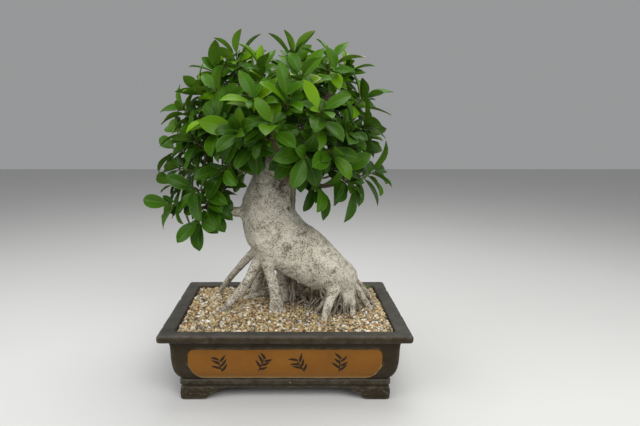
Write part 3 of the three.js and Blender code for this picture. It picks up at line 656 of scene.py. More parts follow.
def brushStroke(x, z, angle, length, width):  # a dab of the brush, as a tapered strip on the wall
    verts = bmesh.ops.create_grid(strokes, x_segments=9, y_segments=2, size=1)["verts"]
    for vert in verts:
        along = (vert.co.x + 1) / 2
        half = width / 2 * math.sin(math.pi * min(along * 0.92 + 0.04, 1) ** 0.8) ** 0.8 * vert.co.y
        aside = half + 0.12 * length * along * along
        strokeX = x + math.cos(angle) * length * along - math.sin(angle) * aside
        strokeZ = z + math.sin(angle) * length * along + math.cos(angle) * aside
        vert.co = at(strokeX, frontAt(strokeZ, glaze["proud"] + 0.05), strokeZ)
    for vert in drawnOut(strokes, verts):
        vert.co.y += glaze["inkThick"] * mm


draw = random.Random(5)
for x, z, lean in glaze["sprigs"]:
    stalk = math.pi / 2 + lean
    half = glaze["sprigHalf"]
    brushStroke(x - math.cos(stalk) * half, z - math.sin(stalk) * half, stalk, 30, glaze["stalkWidth"])
    for k in range(glaze["leaves"]):
        way = k * glaze["leafStep"] - 9
        angle = stalk + (1 if k % 2 else -1) * (0.75 + 0.25 * draw.random())
        brushStroke(x + math.cos(stalk) * way, z + math.sin(stalk) * way, angle,
                    draw.uniform(*glaze["leafLength"]), glaze["leafWidth"])
inkPaint = mottled("brushed ink", 0.6, (0.004, 2.2), (glaze["ink"], glaze["inkWorn"]),
                   grains=(0.002, 0.0006, 0.5, 0.25, 0.0003), gloss=0.1)
finishPiece("paintedSprigs", meshFrom(strokes), [inkPaint], (), 50)
print("glazed panel made")


# Drain screens keep their solids

screenColors = ((0.012, 0.013, 0.012, 1), (0.03, 0.031, 0.028, 1))
screenPlastic = mottled("black plastic net", 0.6, (0.01, 1.5), screenColors,
                        grains=(0.002, 0.0005, 0.5, 0.3, 0.0003))
for name in ("drain_screen_left", "drain_screen_right"):
    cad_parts[name].data.materials.clear()
    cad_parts[name].data.materials.append(screenPlastic)
print("drain screens dressed")


# Trunk: the swollen body and its thick aerial roots, grown into one skin

wood = {
    "torso": [  # x, y, z, radius, from the cut top to the blunt end over the right-hand roots
        (20, 4, 430, 13), (8, 3, 404, 23), (-6, 4, 377, 31), (-18, 5, 350, 36), (-27, 5, 320, 42),
        (-31, 5, 293, 48), (-22, 5, 262, 54), (0, 3, 237, 53), (32, 0, 215, 47), (60, -3, 197, 43),
        (84, -7, 182, 38), (102, -9, 173, 33), (115, -9, 167, 25), (122, -9, 164, 14),
    ],
    "thickRoots": [
        [(-40, 15, 228, 14), (-64, 36, 207, 8.5), (-95, 60, 169, 7), (-130, 83, 122, 5), (-142, 91, 104, 4)],
        [(-30, 0, 232, 20), (-50, -3, 200, 12), (-73, -14, 162, 9.5), (-106, -25, 126, 7),
         (-124, -30, 106, 5)],
        [(-26, -12, 236, 18), (-31, -24, 205, 11.5), (-22, -27, 170, 10), (-15, -28, 134, 12.5),
         (-13, -30, 106, 20)],
        [(-11, 5, 225, 17), (-9, 14, 192, 11.5), (-5, 24, 160, 10.5), (1, 32, 122, 10.5), (4, 34, 104, 12)],
        [(-35, 12, 225, 16), (-42, 26, 190, 11), (-52, 38, 158, 10), (-62, 50, 122, 10), (-66, 56, 104, 8)],
        [(-30, 50, 130, 9), (-48, 46, 128, 8), (-70, 40, 124, 6.5), (-88, 34, 110, 5)],
        [(58, 28, 190, 14), (49, 42, 158, 9), (27, 45, 140, 8.5), (10, 42, 122, 8), (-2, 38, 106, 7)],
        [(84, -16, 190, 15), (87, -27, 168, 10.5), (77, -46, 149, 8.6), (67, -62, 126, 6.8),
         (61, -72, 106, 6.5)],
        [(100, -12, 182, 12), (103, -23, 160, 8), (104, -28, 146, 6.4), (105, -29, 126, 3.8),
         (106, -28, 108, 3.2)],
        [(108, -12, 182, 13), (114, -19, 160, 8.4), (117, -30, 140, 6.8), (116, -43, 122, 5.6),
         (115, -51, 106, 5.6)],
        [(108, -6, 180, 13), (121, 1, 160, 8.6), (134, 0, 142, 7.2), (148, -4, 122, 6.2), (162, -8, 106, 5)],
        [(100, 20, 178, 14), (127, 30, 162, 5), (144, 44, 140, 6), (156, 58, 120, 6), (164, 68, 104, 5)],
        [(-14, 26, 240, 16), (-24, 56, 198, 10.5), (-38, 78, 158, 9), (-50, 97, 122, 7.5),
         (-56, 106, 104, 6)],
        [(36, 24, 214, 15), (44, 54, 178, 9), (56, 76, 148, 7.5), (64, 92, 120, 6.5), (68, 100, 104, 5)],
        [(74, 22, 192, 13), (88, 44, 162, 7.5), (98, 62, 140, 6), (112, 78, 120, 5.5), (120, 86, 106, 4.5)],
    ],
    "thinRoots": [
        [(17, -8, 354, 3), (13.6, -12, 332, 2.3), (13.2, -12, 312, 2.1), (12.2, -13, 296, 2),
         (15, -12, 278, 2.3)],
        [(18, 0, 352, 3), (16, -4, 330, 1.9), (15.6, -5, 308, 1.8), (15, -5, 291, 1.9), (18, -5, 275, 2.2)],
        [(14, -8, 196, 4), (12, 2, 170, 2.4), (14, 10, 145, 2.2), (11, 16, 118, 2.2), (11, 17, 108, 2.2)],
        [(22, -4, 192, 4), (17, 8, 165, 2), (10, 12, 142, 1.9), (15, 20, 116, 2)],
        [(40, -12, 182, 5), (42, 2, 156, 3.4), (43, 14, 138, 2.8), (45, 26, 116, 2.8), (45, 28, 106, 2.6)],
        [(76, -28, 158, 5), (66, -34, 140, 3.6), (56, -40, 128, 3.4), (44, -46, 112, 3.2)],
        [(98, -18, 162, 4), (94, -28, 142, 2), (86, -34, 128, 1.8), (80, -38, 112, 1.8)],
        [(101, -20, 156, 4), (98, -28, 140, 2), (96, -34, 126, 1.9), (92, -40, 112, 1.8)],
        [(103, -22, 152, 3.5), (101, -31, 138, 1.8), (101, -38, 124, 1.8), (100, -42, 112, 1.8)],
        [(112, -22, 156, 3.5), (109, -30, 140, 2), (108, -36, 124, 1.8), (109, -40, 112, 1.8)],
        [(118, -18, 160, 4), (124, -22, 144, 2.4), (128, -26, 130, 2.2), (131, -30, 112, 2.2)],
        [(118, 14, 170, 6), (130, 26, 158, 3), (138, 32, 150, 2.6), (148, 24, 130, 2.4), (170, -6, 112, 2.2)],
        [(118, 4, 168, 5), (136, 14, 148, 3), (152, 16, 130, 2.8), (166, 22, 114, 2.4)],
        [(62, 36, 176, 5), (72, 48, 152, 2.6), (78, 56, 134, 2.4), (80, 62, 112, 2.4)],
        [(4, 30, 196, 5), (6, 38, 165, 4), (9, 44, 140, 3.4), (12, 48, 112, 3.2)],
        [(16, 34, 200, 5), (14, 54, 168, 2.8), (20, 66, 142, 2.4), (18, 74, 112, 2.4)],
    ],
    "hairTufts": [  # tangles of fine roots: x, y, z of the top, spread, how many
        (101, -26, 148, 11, 6), (90, -18, 154, 9, 3), (116, -2, 152, 8, 3), (64, -22, 162, 12, 3),
        (46, 4, 172, 9, 2), (13, 4, 184, 3, 3), (128, 20, 154, 10, 3), (78, 36, 160, 10, 3),
        (-2, 40, 188, 10, 3), (40, 10, 128, 16, 6), (58, -16, 138, 12, 5), (24, 20, 130, 14, 5),
        (78, 2, 140, 12, 4), (88, -34, 136, 9, 4),
    ],
    "branches": [
        [(-48, 0, 296, 17), (-80, -2, 293, 10), (-106, -8, 299, 8), (-127, -15, 309, 5.5),
         (-140, -24, 318, 3.5)],
        [(-124, -14, 308, 5), (-142, -22, 304, 2.8), (-160, -28, 306, 2.4)],
        [(-20, 0, 352, 12), (-52, -10, 371, 5), (-77, -20, 381, 3.6), (-117, -30, 394, 3),
         (-150, -32, 408, 2.2)],
        [(12, 0, 408, 16), (-18, -6, 438, 9), (-50, -8, 466, 6.5), (-72, -4, 500, 5), (-80, 0, 525, 3)],
        [(14, 2, 412, 17), (6, 4, 455, 9), (-4, 0, 500, 6), (2, 10, 540, 3)],
        [(16, 0, 412, 16), (46, -6, 448, 8), (70, -12, 490, 5.5), (84, -6, 518, 3)],
        [(10, -4, 402, 14), (30, -24, 421, 6.5), (48, -40, 424, 5), (62, -55, 437, 4), (90, -58, 448, 2.6)],
        [(-6, -8, 356, 10), (20, -26, 352, 4.5), (54, -45, 345, 4), (76, -48, 346, 3.2), (88, -46, 354, 2.6)],
        [(14, 4, 410, 15), (60, 2, 424, 7), (98, -4, 442, 5), (122, -8, 462, 3)],
        [(0, -6, 390, 14), (-14, -46, 412, 6.5), (-22, -78, 436, 4.5), (-24, -104, 446, 3)],
        [(2, 10, 396, 15), (-12, 52, 424, 7.5), (-20, 86, 452, 5), (-24, 106, 474, 3)],
        [(12, 10, 404, 14), (52, 46, 424, 6.5), (78, 66, 436, 4.5), (96, 76, 460, 3)],
        [(-12, 8, 376, 14), (-64, 44, 398, 7), (-104, 62, 412, 5), (-134, 62, 426, 3)],
        [(-10, -2, 384, 13), (-58, -14, 420, 6.5), (-104, -16, 446, 4.5), (-142, -12, 462, 3)],
    ],
    "voxel": 1.7, "smoothing": 13, "lumps": 1.7, "wrinkles": 0.5,
    "hollows": [  # x, y, z, radius, depth: dents below nought, swellings above
        (8, -19, 303, 5, -4.5), (13, -8, 322, 6, -2), (24, -34, 262, 9, -2.4), (-8, -40, 259, 8, -1.6),
        (2, -42, 238, 10, -1.8), (-6, -26, 352, 17, -3), (14, -6, 336, 6, 2.4), (17, -8, 296, 5, 2.2),
        (53, -39, 208, 8, -1.5), (67, -31, 228, 7, -1.4), (84, -38, 199, 9, -2.2), (104, -24, 196, 8, -2),
        (116, -20, 186, 7, -1.6), (-33, -30, 226, 10, -2.6), (36, -32, 246, 22, 2.2),
        (92, -24, 205, 16, 2), (30, 2, 276, 15, -13), (60, -4, 262, 16, 3.2), (-52, -18, 300, 18, 1.6),
        (-20, -36, 288, 22, 1.5), (-6, -28, 342, 14, -4), (-62, -2, 296, 14, 3),
    ],
    "stainsAndShade": [  # x, y, z, radius, strength: stains, and painted shade under the neck and over the hip
        (-10, -40, 258, 6.5, 0.75), (2, -41, 237, 10, 0.8), (-3, -41, 243, 7, 0.5), (20, -32, 259, 5, 0.7),
        (28, -28, 260, 4.5, 0.8), (34, -23, 260, 5, 0.7), (67, -30, 227, 5, 0.6), (53, -39, 207, 7, 0.65),
        (75, -39, 195, 6, 0.5), (84, -38, 197, 5, 0.6), (115, -22, 196, 5, 0.65), (106, -20, 205, 5, 0.45),
        (-7, -26, 350, 21, 0.9), (4, -20, 343, 12, 0.7), (8, -19, 303, 4.5, 1), (12, -12, 318, 3.5, 0.8),
        (-60, -27, 292, 13, 0.22), (-46, -22, 332, 14, 0.25), (-24, -38, 281, 4, 0.5),
        (-30, -40, 248, 5, 0.45), (32, -33, 245, 4, 0.45), (44, -33, 233, 3.5, 0.5),
        (-33, -32, 222, 8, 0.4), (100, -26, 184, 9, 0.4), (118, -16, 178, 8, 0.45),
        (92, -34, 186, 24, 0.24), (56, -38, 194, 20, 0.22), (-6, -29, 336, 13, 0.7), (3, -24, 326, 9, 0.5),
        (-40, 34, 300, 12, 0.5), (10, 44, 262, 10, 0.55), (50, 34, 222, 9, 0.5), (-2, 36, 340, 14, 0.5),
    ],
    "bluntEnd": (112, -22, 184), "bluntReach": 36,  # where the folds are deepest
    "pale": (0.63, 0.595, 0.5, 1), "warm": (0.4, 0.35, 0.262, 1), "grey": (0.3, 0.268, 0.212, 1),
    "dark": (0.06, 0.045, 0.028, 1), "speck": (0.09, 0.068, 0.042, 1), "speckCover": (0.34, 0.8),
    "rootPale": (0.4, 0.35, 0.275, 1), "rootDark": (0.14, 0.11, 0.075, 1), "roughness": 0.78, "gloss": 0.25,
}


def torsoForm(angle, share):
    return 1 + 0.028 * (math.sin(angle * 3 + share * 9) + math.sin(angle * 2 - share * 17) * 0.7)


def rootForm(seed):
    def form(angle, share):
        swell = 0.07 * math.sin(angle * 2 + seed + share * 5) + 0.05 * math.sin(share * 23 + seed)
        return 1 + swell + 0.05 * math.sin(angle * 3 - seed * 2 + share * 11)
    return form


bulk = bmesh.new()
sweep(bulk, smoothRoute(wood["torso"], 4), 28, 0.86, torsoForm)
for k, route in enumerate(wood["thickRoots"]):
    sweep(bulk, smoothRoute(route, 8), 12, 1.0, rootForm(k * 1.7))
sweep(bulk, smoothRoute(wood["branches"][0], 5), 12)
skinMesh = withModifier(meshFrom(bulk), "REMESH", mode="VOXEL", voxel_size=wood["voxel"] * mm)

bulk = bmesh.new()
bulk.from_mesh(skinMesh)
for turn in range(wood["smoothing"]):
    bmesh.ops.smooth_vert(bulk, verts=bulk.verts, factor=0.5,
                          use_axis_x=True, use_axis_y=True, use_axis_z=True)
bulk.normal_update()
stainAndShadeLayer = bulk.verts.layers.float.new("stainAndShade")
rootLayer = bulk.verts.layers.float.new("rootness")
core = [(point[:3], point[3]) for point in smoothRoute(wood["torso"], 3)]
for vert in bulk.verts:
    place = vert.co
    spot = inMillimetres(place)
    onRoot = eased((min(math.dist(spot, middle) - radius for middle, radius in core) - 2) / 14)
    push = wood["lumps"] * (1 - 0.6 * onRoot) * (lumpy(place, 34) + 0.5 * lumpy(place, 15, 7))
    wrinkled = lumpy(place, 6, 3) - 1.4 * abs(lumpy(place, 13, 5)) + 0.5 * lumpy(place, 3.6, 1)
    push += wood["wrinkles"] * wrinkled
    for *middle, radius, depth in wood["hollows"]:
        away = math.dist(spot, middle) / radius
        if away < 2.5:
            push += depth * math.exp(-1.6 * away * away)
    dark = 0
    ragged = 1.25 - 0.35 * lumpy(place, 5, 9)
    for *middle, radius, strength in wood["stainsAndShade"]:
        dark = max(dark, strength * eased(ragged - math.dist(spot, middle) / radius))
    # The blunt end is knobbly, with painted shade in the creases between its folds.
    knobby = max(eased(1 - math.dist(spot, wood["bluntEnd"]) / wood["bluntReach"]), 0.22 * (1 - onRoot))
    fold = abs(lumpy(place, 11, 33))
    push += knobby * (1.3 * lumpy(place, 8, 21) + 4 * min(fold, 0.25) - 0.9)
    vert[stainAndShadeLayer] = max(dark, 0.6 * knobby * (1 - min(fold * 9, 1)))
    vert[rootLayer] = onRoot
    vert.co = place + vert.normal * push * mm
barkMesh = meshFrom(bulk)

bark, tree, shader = newMaterial("pale banyan bark", wood["roughness"], wood["gloss"])
broad = useEffect(tree, clouds, Size=0.04, Contrast=2.4)
tint = mixColors(remap(broad, 0.4, 1, 0, 0.7), wood["pale"], wood["warm"])
patches = useEffect(tree, clouds, Size=0.009, Contrast=4.0)
tint = mixColors(remap(patches, 0.55, 1, 0, 0.55), tint, wood["grey"])
mottle = useEffect(tree, clouds, Size=0.0028, Contrast=5.0)
tint = mixColors(remap(mottle, 0.3, 1, 0, 0.4), tint, wood["grey"])
# Specks of three sizes, in clumps, and closer on the roots.
clumps = remap(useEffect(tree, clouds, Size=0.02, Contrast=3.4), 0.2, 0.8, 0, 0.65)
cover = mixValues(plus(times(ownValue(tree, "rootness"), 0.35), clumps, True), *wood["speckCover"])
middling = useEffect(tree, specks, Size=0.003, Cover=cover, Softness=0.16)
small = useEffect(tree, specks, Size=0.0018, Cover=plus(cover, 0.2, True), Softness=0.2)
big = useEffect(tree, specks, Size=0.0052, Cover=times(cover, 0.42), Softness=0.3)
spots = larger(larger(middling, big), times(small, 0.85))
tint = mixColors(times(spots, 0.78), tint, wood["speck"])
ragged = remap(useEffect(tree, clouds, Size=0.0045, Contrast=4.0), 0, 1, 0.3, 1.15)
# Stains, and painted shade in the neck's recess, over the hip and in the creases, darken the bark.
tint = mixColors(times(ownValue(tree, "stainAndShade"), ragged, True), tint, wood["dark"])
pores = minus(useEffect(tree, grain, Coarse=0.006, Fine=0.0014, Share=0.4), times(spots, 0.4))
rough = remap(broad, 0, 1, wood["roughness"] - 0.08, wood["roughness"] + 0.1)
wire(shader, tint, (pores, 0.75, 0.0013), rough)
finishPiece("trunkAndRoots", barkMesh, [bark], ["trunk"])
print("trunk made:", len(barkMesh.polygons), "faces")


# Fine roots that hang between the thick ones

tangle = {"sway": 1.6, "curl": 9, "drop": 5, "ground": 113, "radius": (0.5, 1.7), "steps": 10, "seed": 21}


def swayed(a, b, seedX, seedY):
    return Vector((noiseAt(a, b, seedX), noiseAt(a, b, seedY), 0))


draw = random.Random(tangle["seed"])
fineRoots = bmesh.new()
for route in wood["thinRoots"]:
    line = []
    for k, (x, y, z, radius) in enumerate(smoothRoute(route, 6)):
        aside = swayed(k * 0.35, route[0][0], 1, 5) * tangle["sway"]
        line.append((x + aside.x, y + aside.y, z, radius * (0.92 + 0.16 * draw.random())))
    sweep(fineRoots, line, 7)
for x, y, z, spread, count in wood["hairTufts"]:
    for k in range(count):
        startX = x + draw.uniform(-spread, spread) * 0.9
        start = Vector((startX, y + draw.uniform(-spread, spread) * 0.6, z + 3))
        endX = x + draw.uniform(-spread, spread) * 1.8
        end = Vector((endX, y + draw.uniform(-spread, spread) * 1.5 - 5, tangle["ground"]))
        radius = draw.uniform(*tangle["radius"]) ** 1.3
        swing = Vector((draw.uniform(-1, 1), draw.uniform(-1, 1), 0)) * spread
        line = []
        for step in range(tangle["steps"] + 1):
            share = step / tangle["steps"]
            arch = math.sin(share * math.pi)
            spot = start.lerp(end, share) + (swing + swayed(x + k, share * 3.5, 0, 9) * tangle["curl"]) * arch
            spot.z += tangle["drop"] * noiseAt(x + k, share * 4, 17) * arch
            line.append((*spot, radius * (1.25 - 0.5 * share)))
        sweep(fineRoots, line, 5)
rootBark = mottled("root bark", 0.8, (0.012, 2.6), (wood["rootDark"], wood["rootPale"]),
                   grains=(0.003, 0.0009, 0.5, 0.6, 0.0007), fleck=(0.0022, 0.7, 0.6, wood["dark"]))
finishPiece("fineRoots", meshFrom(fineRoots), [rootBark], ["trunk"])
print("fine roots made")


# Grit: an earthy bed under thousands of loose grains

gritty = {
    "edge": 116.5, "mound": 7, "heapX": 178, "heapY": 118, "sunk": 2.0, "ground": 31,
    "bedWall": 25.4, "bedGrid": (140, 96),  # in from the rim's edge, and how finely the bed is laid out
    "wall": 26, "inside": 28, "pitch": 4.3, "small": 1.7, "large": 3.6, "scatter": 1.5, "seed": 11,
    "finerAndPaintedShade": [(38, 30, 64, 56), (100, -22, 26, 24)],  # finer, and with painted shade, under the trunk: x, y, reaches
    "colors": [  # share, colour
        (0.4, (0.51, 0.385, 0.19)), (0.25, (0.65, 0.53, 0.32)), (0.13, (0.85, 0.82, 0.73)),
        (0.08, (0.3, 0.26, 0.2)), (0.06, (0.45, 0.22, 0.075)), (0.07, (0.11, 0.085, 0.055))],
    "bigOnes": [  # x, y, size, colour
        (-139, 101, 6.2, (0.6, 0.42, 0.2)), (-119, 84, 5.4, (0.62, 0.5, 0.3)),
        (-152, 92, 4.2, (0.5, 0.37, 0.2)), (-150, -96, 4.2, (0.78, 0.75, 0.68))],
    "earthDark": (0.05, 0.036, 0.022, 1), "earth": (0.26, 0.19, 0.11, 1),
    "mottleColor": (0.2, 0.145, 0.085, 1),
}


def gritTop(x, y):
    rise = (1 - (x / gritty["heapX"]) ** 2) * (1 - (y / gritty["heapY"]) ** 2)
    return gritty["edge"] + gritty["mound"] * max(rise, 0) + 1.2 * noiseAt(x * 0.03, y * 0.03)


bed = bmesh.new()
columns, rows = gritty["bedGrid"]
verts = bmesh.ops.create_grid(bed, x_segments=columns, y_segments=rows, size=1)["verts"]
for vert in verts:
    x, y = vert.co.x * (pot["halfX"] - gritty["bedWall"]), vert.co.y * (pot["halfY"] - gritty["bedWall"])
    vert.co = at(x, y, gritTop(x, y) - gritty["sunk"] + 0.7 * noiseAt(x * 0.3, y * 0.3, 1.2))
rim = [edge for edge in bed.edges if len(edge.link_faces) == 1]
for vert in vertsOf(bmesh.ops.extrude_edge_only(bed, edges=rim)["geom"]):
    x, y, z = inMillimetres(vert.co)
    vert.co = at(x * 0.87, y * 0.82, gritty["ground"])
bmesh.ops.contextual_create(bed, geom=[edge for edge in bed.edges if len(edge.link_faces) == 1])
earth = mottled("earth between the grit", 0.92, (0.003, 3.5), (gritty["earthDark"], gritty["earth"]),
                grains=(0.003, 0.001, 0.35, 0.9, 0.002))
finishPiece("gritBed", meshFrom(bed), [earth], ["soil_grit"], 40)

pebble = bmesh.new()
bmesh.ops.create_icosphere(pebble, subdivisions=1, radius=1)
pebble.verts.index_update()
pebbleCorners = np.array([vert.co for vert in pebble.verts])
pebbleFaces = [[vert.index for vert in face.verts] for face in pebble.faces]
pebble.free()


def knocked(amount, draw):  # a pebble with its corners knocked in and out
    knocks = np.array([draw.uniform(-amount, amount) for corner in pebbleCorners])
    return pebbleCorners * (1 + knocks)[:, None]


woodTree = faceTree(barkMesh)
draw = random.Random(gritty["seed"])
grains, tones = [], []
columns = int(2 * (pot["halfX"] - gritty["wall"]) / gritty["pitch"])
rows = int(2 * (pot["halfY"] - gritty["wall"]) / gritty["pitch"])
scatter = gritty["scatter"]
for row in range(rows + 1):
    for column in range(columns + 1):
        x = (column / columns * 2 - 1) * (pot["halfX"] - gritty["inside"]) + draw.uniform(-scatter, scatter)
        y = (row / rows * 2 - 1) * (pot["halfY"] - gritty["inside"]) + draw.uniform(-scatter, scatter)
        # How near a grain lies to the spots under the trunk, where it is smaller and darkened by painted
        # shade.
        under = max(math.exp(-((x - midX) / reachX) ** 2 - ((y - midY) / reachY) ** 2)
                    for midX, midY, reachX, reachY in gritty["finerAndPaintedShade"])
        size = draw.uniform(gritty["small"], gritty["large"]) * (1 - 0.35 * under)
        spot = at(x, y, gritTop(x, y) - gritty["sunk"] * 0.35 + draw.uniform(-0.9, 0.9))
        nearest, normal, face, away = woodTree.find_nearest(spot)
        if (spot - nearest).dot(normal) < -mm:
            continue
        stretch = [draw.uniform(0.75, 1.3), draw.uniform(0.75, 1.2), draw.uniform(0.55, 0.9)]
        stretch = np.array(stretch) * size * mm
        turn = Matrix.Rotation(draw.uniform(0, math.tau), 3, "Z")
        turn = turn @ Matrix.Rotation(draw.uniform(-0.7, 0.7), 3, "X")
        grains.append((knocked(0.22, draw) * stretch) @ np.array(turn).T + np.array(spot))
        lot = draw.random()
        for share, color in gritty["colors"]:
            lot -= share
            if lot < 0:
                break
        # A random tone, darkened under the trunk by painted shade.
        shade = draw.uniform(0.5, 1.45) * (1 - 0.8 * under)
        tones.append([min(part * shade, 1) for part in color] + [1])
for x, y, size, color in gritty["bigOnes"]:
    stretch = np.array([1.15, 0.95, 0.8]) * size * mm
    grains.append(knocked(0.14, draw) * stretch + np.array(at(x, y, gritTop(x, y) + 1.5)))
    tones.append([*color, 1])
gritMesh = manyOf(pebbleFaces, grains)
tones = np.repeat(np.array(tones, np.float32), len(pebbleCorners), axis=0)
gritMesh.color_attributes.new("grainTone", "FLOAT_COLOR", "POINT").data.foreach_set("color", tones.ravel())
stones, tree, shader = newMaterial("mixed grit", 0.88)
mottle = useEffect(tree, clouds, Size=0.0016, Contrast=2.4)
tint = mixColors(remap(mottle, 0, 1, 0, 0.45), ownValue(tree, "grainTone", "Color"), gritty["mottleColor"])
height = useEffect(tree, grain, Coarse=0.0014, Fine=0.0004, Share=0.5)
wire(shader, tint, (height, 0.5, 0.0004), remap(mottle, 0, 1, 0.78, 0.95))
finishPiece("gritGrains", gritMesh, [stones], ["soil_grit"])
gritMesh.shade_flat()
print("grit made:", len(grains), "grains")


# Crown: boughs, twigs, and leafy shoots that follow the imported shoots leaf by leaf

crown = {
    "heart": (-5, 5, 375), "lift": 40,
    "tips": [  # the end of each shoot, and where one is given, the way that it points
        [(-82, 6, 559), (-0.1, 0, 1)], [(-118, 22, 538), (-0.5, 0.2, 1)], [(-38, -42, 535)],
        [(14, 16, 561)], [(75, -20, 548), (0.2, -0.1, 1)], [(104, 6, 541), (0.3, -0.1, 1)],
        [(134, 0, 488)], [(134, -20, 446)], [(26, -80, 518)], [(5, -112, 482)], [(-110, -42, 498)],
        [(-144, 0, 500)], [(-172, -12, 470)], [(-180, -12, 436)], [(-190, 0, 402)], [(-152, -52, 420)],
        [(-110, -88, 452)], [(-45, -98, 482)], [(-18, -132, 446)], [(55, -114, 466)], [(106, -72, 436)],
        [(-70, -116, 430), (-0.2, -1, -0.3)], [(72, -108, 400), (0.4, -1, -0.3)],
        [(32, -118, 398), (0.2, -1, -0.5)], [(-50, -86, 412), (-0.3, -1, -0.3)],
        [(-100, -70, 372), (-0.5, -1, -0.4)], [(22, -86, 390), (0.2, -1, -0.4)],
        [(90, -55, 372), (0.7, -0.7, -0.1)], [(60, -68, 346), (0.6, -0.6, -0.2)], [(-180, -22, 372)],
        [(-148, -70, 342), (-0.6, -0.8, 0.2)], [(-192, -30, 346), (-1, -0.1, 0.2)],
        [(-102, -38, 342), (0.35, -0.6, 0.7)], [(-140, -62, 288), (0.05, -1, -0.55)],
        [(-190, -48, 312), (-0.8, -0.5, -0.25)], [(-126, -56, 323), (0.1, -0.75, 0.65)],
        [(112, -58, 343), (0.6, -0.6, -0.45)], [(146, -40, 366), (1, -0.2, 0.3)], [(132, -20, 396)],
        [(-60, 88, 538)], [(58, 88, 532)], [(-120, 78, 488)], [(-30, 128, 488)], [(40, 126, 478)],
        [(110, 78, 474)], [(-160, 58, 430)], [(-92, 118, 428)], [(-12, 138, 420)], [(68, 118, 418)],
        [(128, 50, 420)], [(-168, 48, 368)], [(-108, 98, 368)], [(48, 108, 362)], [(112, 58, 358)],
    ],
    "twigThickest": 3, "twigThin": 1.9, "twigEnd": 1.7, "twigEase": 0.35,
    "internodes": 4, "internode": 8, "stemRadius": 1.7, "stemTip": 0.9, "stemTurn": 35, "stemGap": 0.35,
    "high": 415, "more": 12, "fewer": 5,  # small leaves on a shoot above that height, and below it
    "sideShoots": [(500, 5), (430, 4), (410, 2)],  # above each height, how many more stems grow on a twig
    "sideSpread": (32, 75), "sideLength": (16, 32), "sideRadius": 1.2,
    "sideLeaves": (1, 0.9, 0.75, 0.6, 0.45, 0.3),  # places along such a stem where leaves are tried
    "tries": 8, "smallLeaf": (24, 44), "smallSpread": (30, 78), "smallHalf": (0.2, 0.26),
    "smallBend": (0.06, 0.3), "darkShare": 0.6,
    "clearings": [  # the bare bough on the left, and the top of the trunk: two ends and a radius
        ((-42, -18, 368), (-128, -30, 399), 15), ((-12, -30, 352), (4, -24, 396), 24)],
    "stations": [0, 0.09, 0.15, 0.25, 0.37, 0.5, 0.63, 0.76, 0.87, 0.95, 1],  # along a leaf, stalk and all
    "stalkEnd": 0.13, "stalkHalf": 0.85, "fold": 0.36, "wave": 0.7, "thick": 0.32, "keel": 0.55,
    "youngAbove": 470,  # height from which a shoot's leaves are young
    "young": (0.06, 0.16, 0.001, 1), "youngDeep": (0.018, 0.075, 0.001, 1), "fresh": (0.15, 0.3, 0.001, 1),
    "grown": (0.038, 0.11, 0.003, 1), "grownDeep": (0.01, 0.042, 0.001, 1), "under": (0.1, 0.2, 0.02, 1),
    "rib": (0.12, 0.23, 0.03, 1), "blush": (0.55, 0.43, 0.39, 1), "roughness": 0.31, "gloss": 0.13,
    "stemGreen": (0.1, 0.15, 0.03, 1), "stemBrown": (0.13, 0.075, 0.04, 1),
    "twigDark": (0.07, 0.044, 0.026, 1), "twigPale": (0.2, 0.142, 0.092, 1),
    "twigFleck": (0.42, 0.34, 0.25, 1),
}
heart = Vector(crown["heart"])
upward = Vector((0, 0, 1))

shoots = []
for tip, *aim in crown["tips"]:
    top = Vector(tip)
    heading = (Vector(aim[0]) if aim else top - heart + upward * crown["lift"]).normalized()
    base = top - heading * crown["internodes"] * crown["internode"]
    shoots.append({"top": top, "heading": heading, "base": base, "sides": []})

buds = []


def markBuds(route, spare):
    for k in range(len(route) - 1):
        for share in (0.25, 0.5, 0.75, 1):
            if 0.5 < k + share <= len(route) - 1 - spare:
                buds.append((Vector(route[k][:3]).lerp(Vector(route[k + 1][:3]), share), route[k + 1][3]))


# Each twig starts at the nearest bud on the wood that is there already.
for route in wood["branches"]:
    markBuds(route, 0)
twigRoutes = []
for shoot in sorted(shoots, key=lambda shoot: (shoot["base"] - heart).length):
    bud, radius = min(buds, key=lambda bud: (bud[0] - shoot["base"]).length)
    ease = shoot["base"] - shoot["heading"] * crown["twigEase"] * (bud - shoot["base"]).length
    start = min(radius * 0.8, crown["twigThickest"])
    shoot["twig"] = [(*bud, start), (*bud.lerp(ease, 0.55), max(start * 0.85, crown["twigThin"])),
                     (*ease, crown["twigThin"]), (*shoot["base"], crown["twigEnd"])]
    twigRoutes.append(shoot["twig"])
    markBuds(shoot["twig"], 0.7)


def knotForm(seed):
    def form(angle, share):
        return 0.93 + 0.16 * max(0, math.sin(share * 26 + seed)) ** 6 + 0.05 * math.sin(angle * 2 + share * 9)
    return form


boughs = bmesh.new()
for k, route in enumerate(wood["branches"][1:]):
    sweep(boughs, smoothRoute(route, 6), 9, 1.0, rootForm(k * 2.3))
for k, route in enumerate(twigRoutes):
    sweep(boughs, smoothRoute(route, 6), 6, 1.0, knotForm(k * 0.9))
boughMesh = meshFrom(boughs)
twigBark = mottled("twig bark", 0.72, (0.014, 2.4), (crown["twigDark"], crown["twigPale"]),
                   grains=(0.003, 0.0009, 0.5, 0.6, 0.0007), fleck=(0.0018, 0.4, 0.55, crown["twigFleck"]))
finishPiece("boughsAndTwigs", boughMesh, [twigBark], ["trunk"])
print("boughs and twigs made")

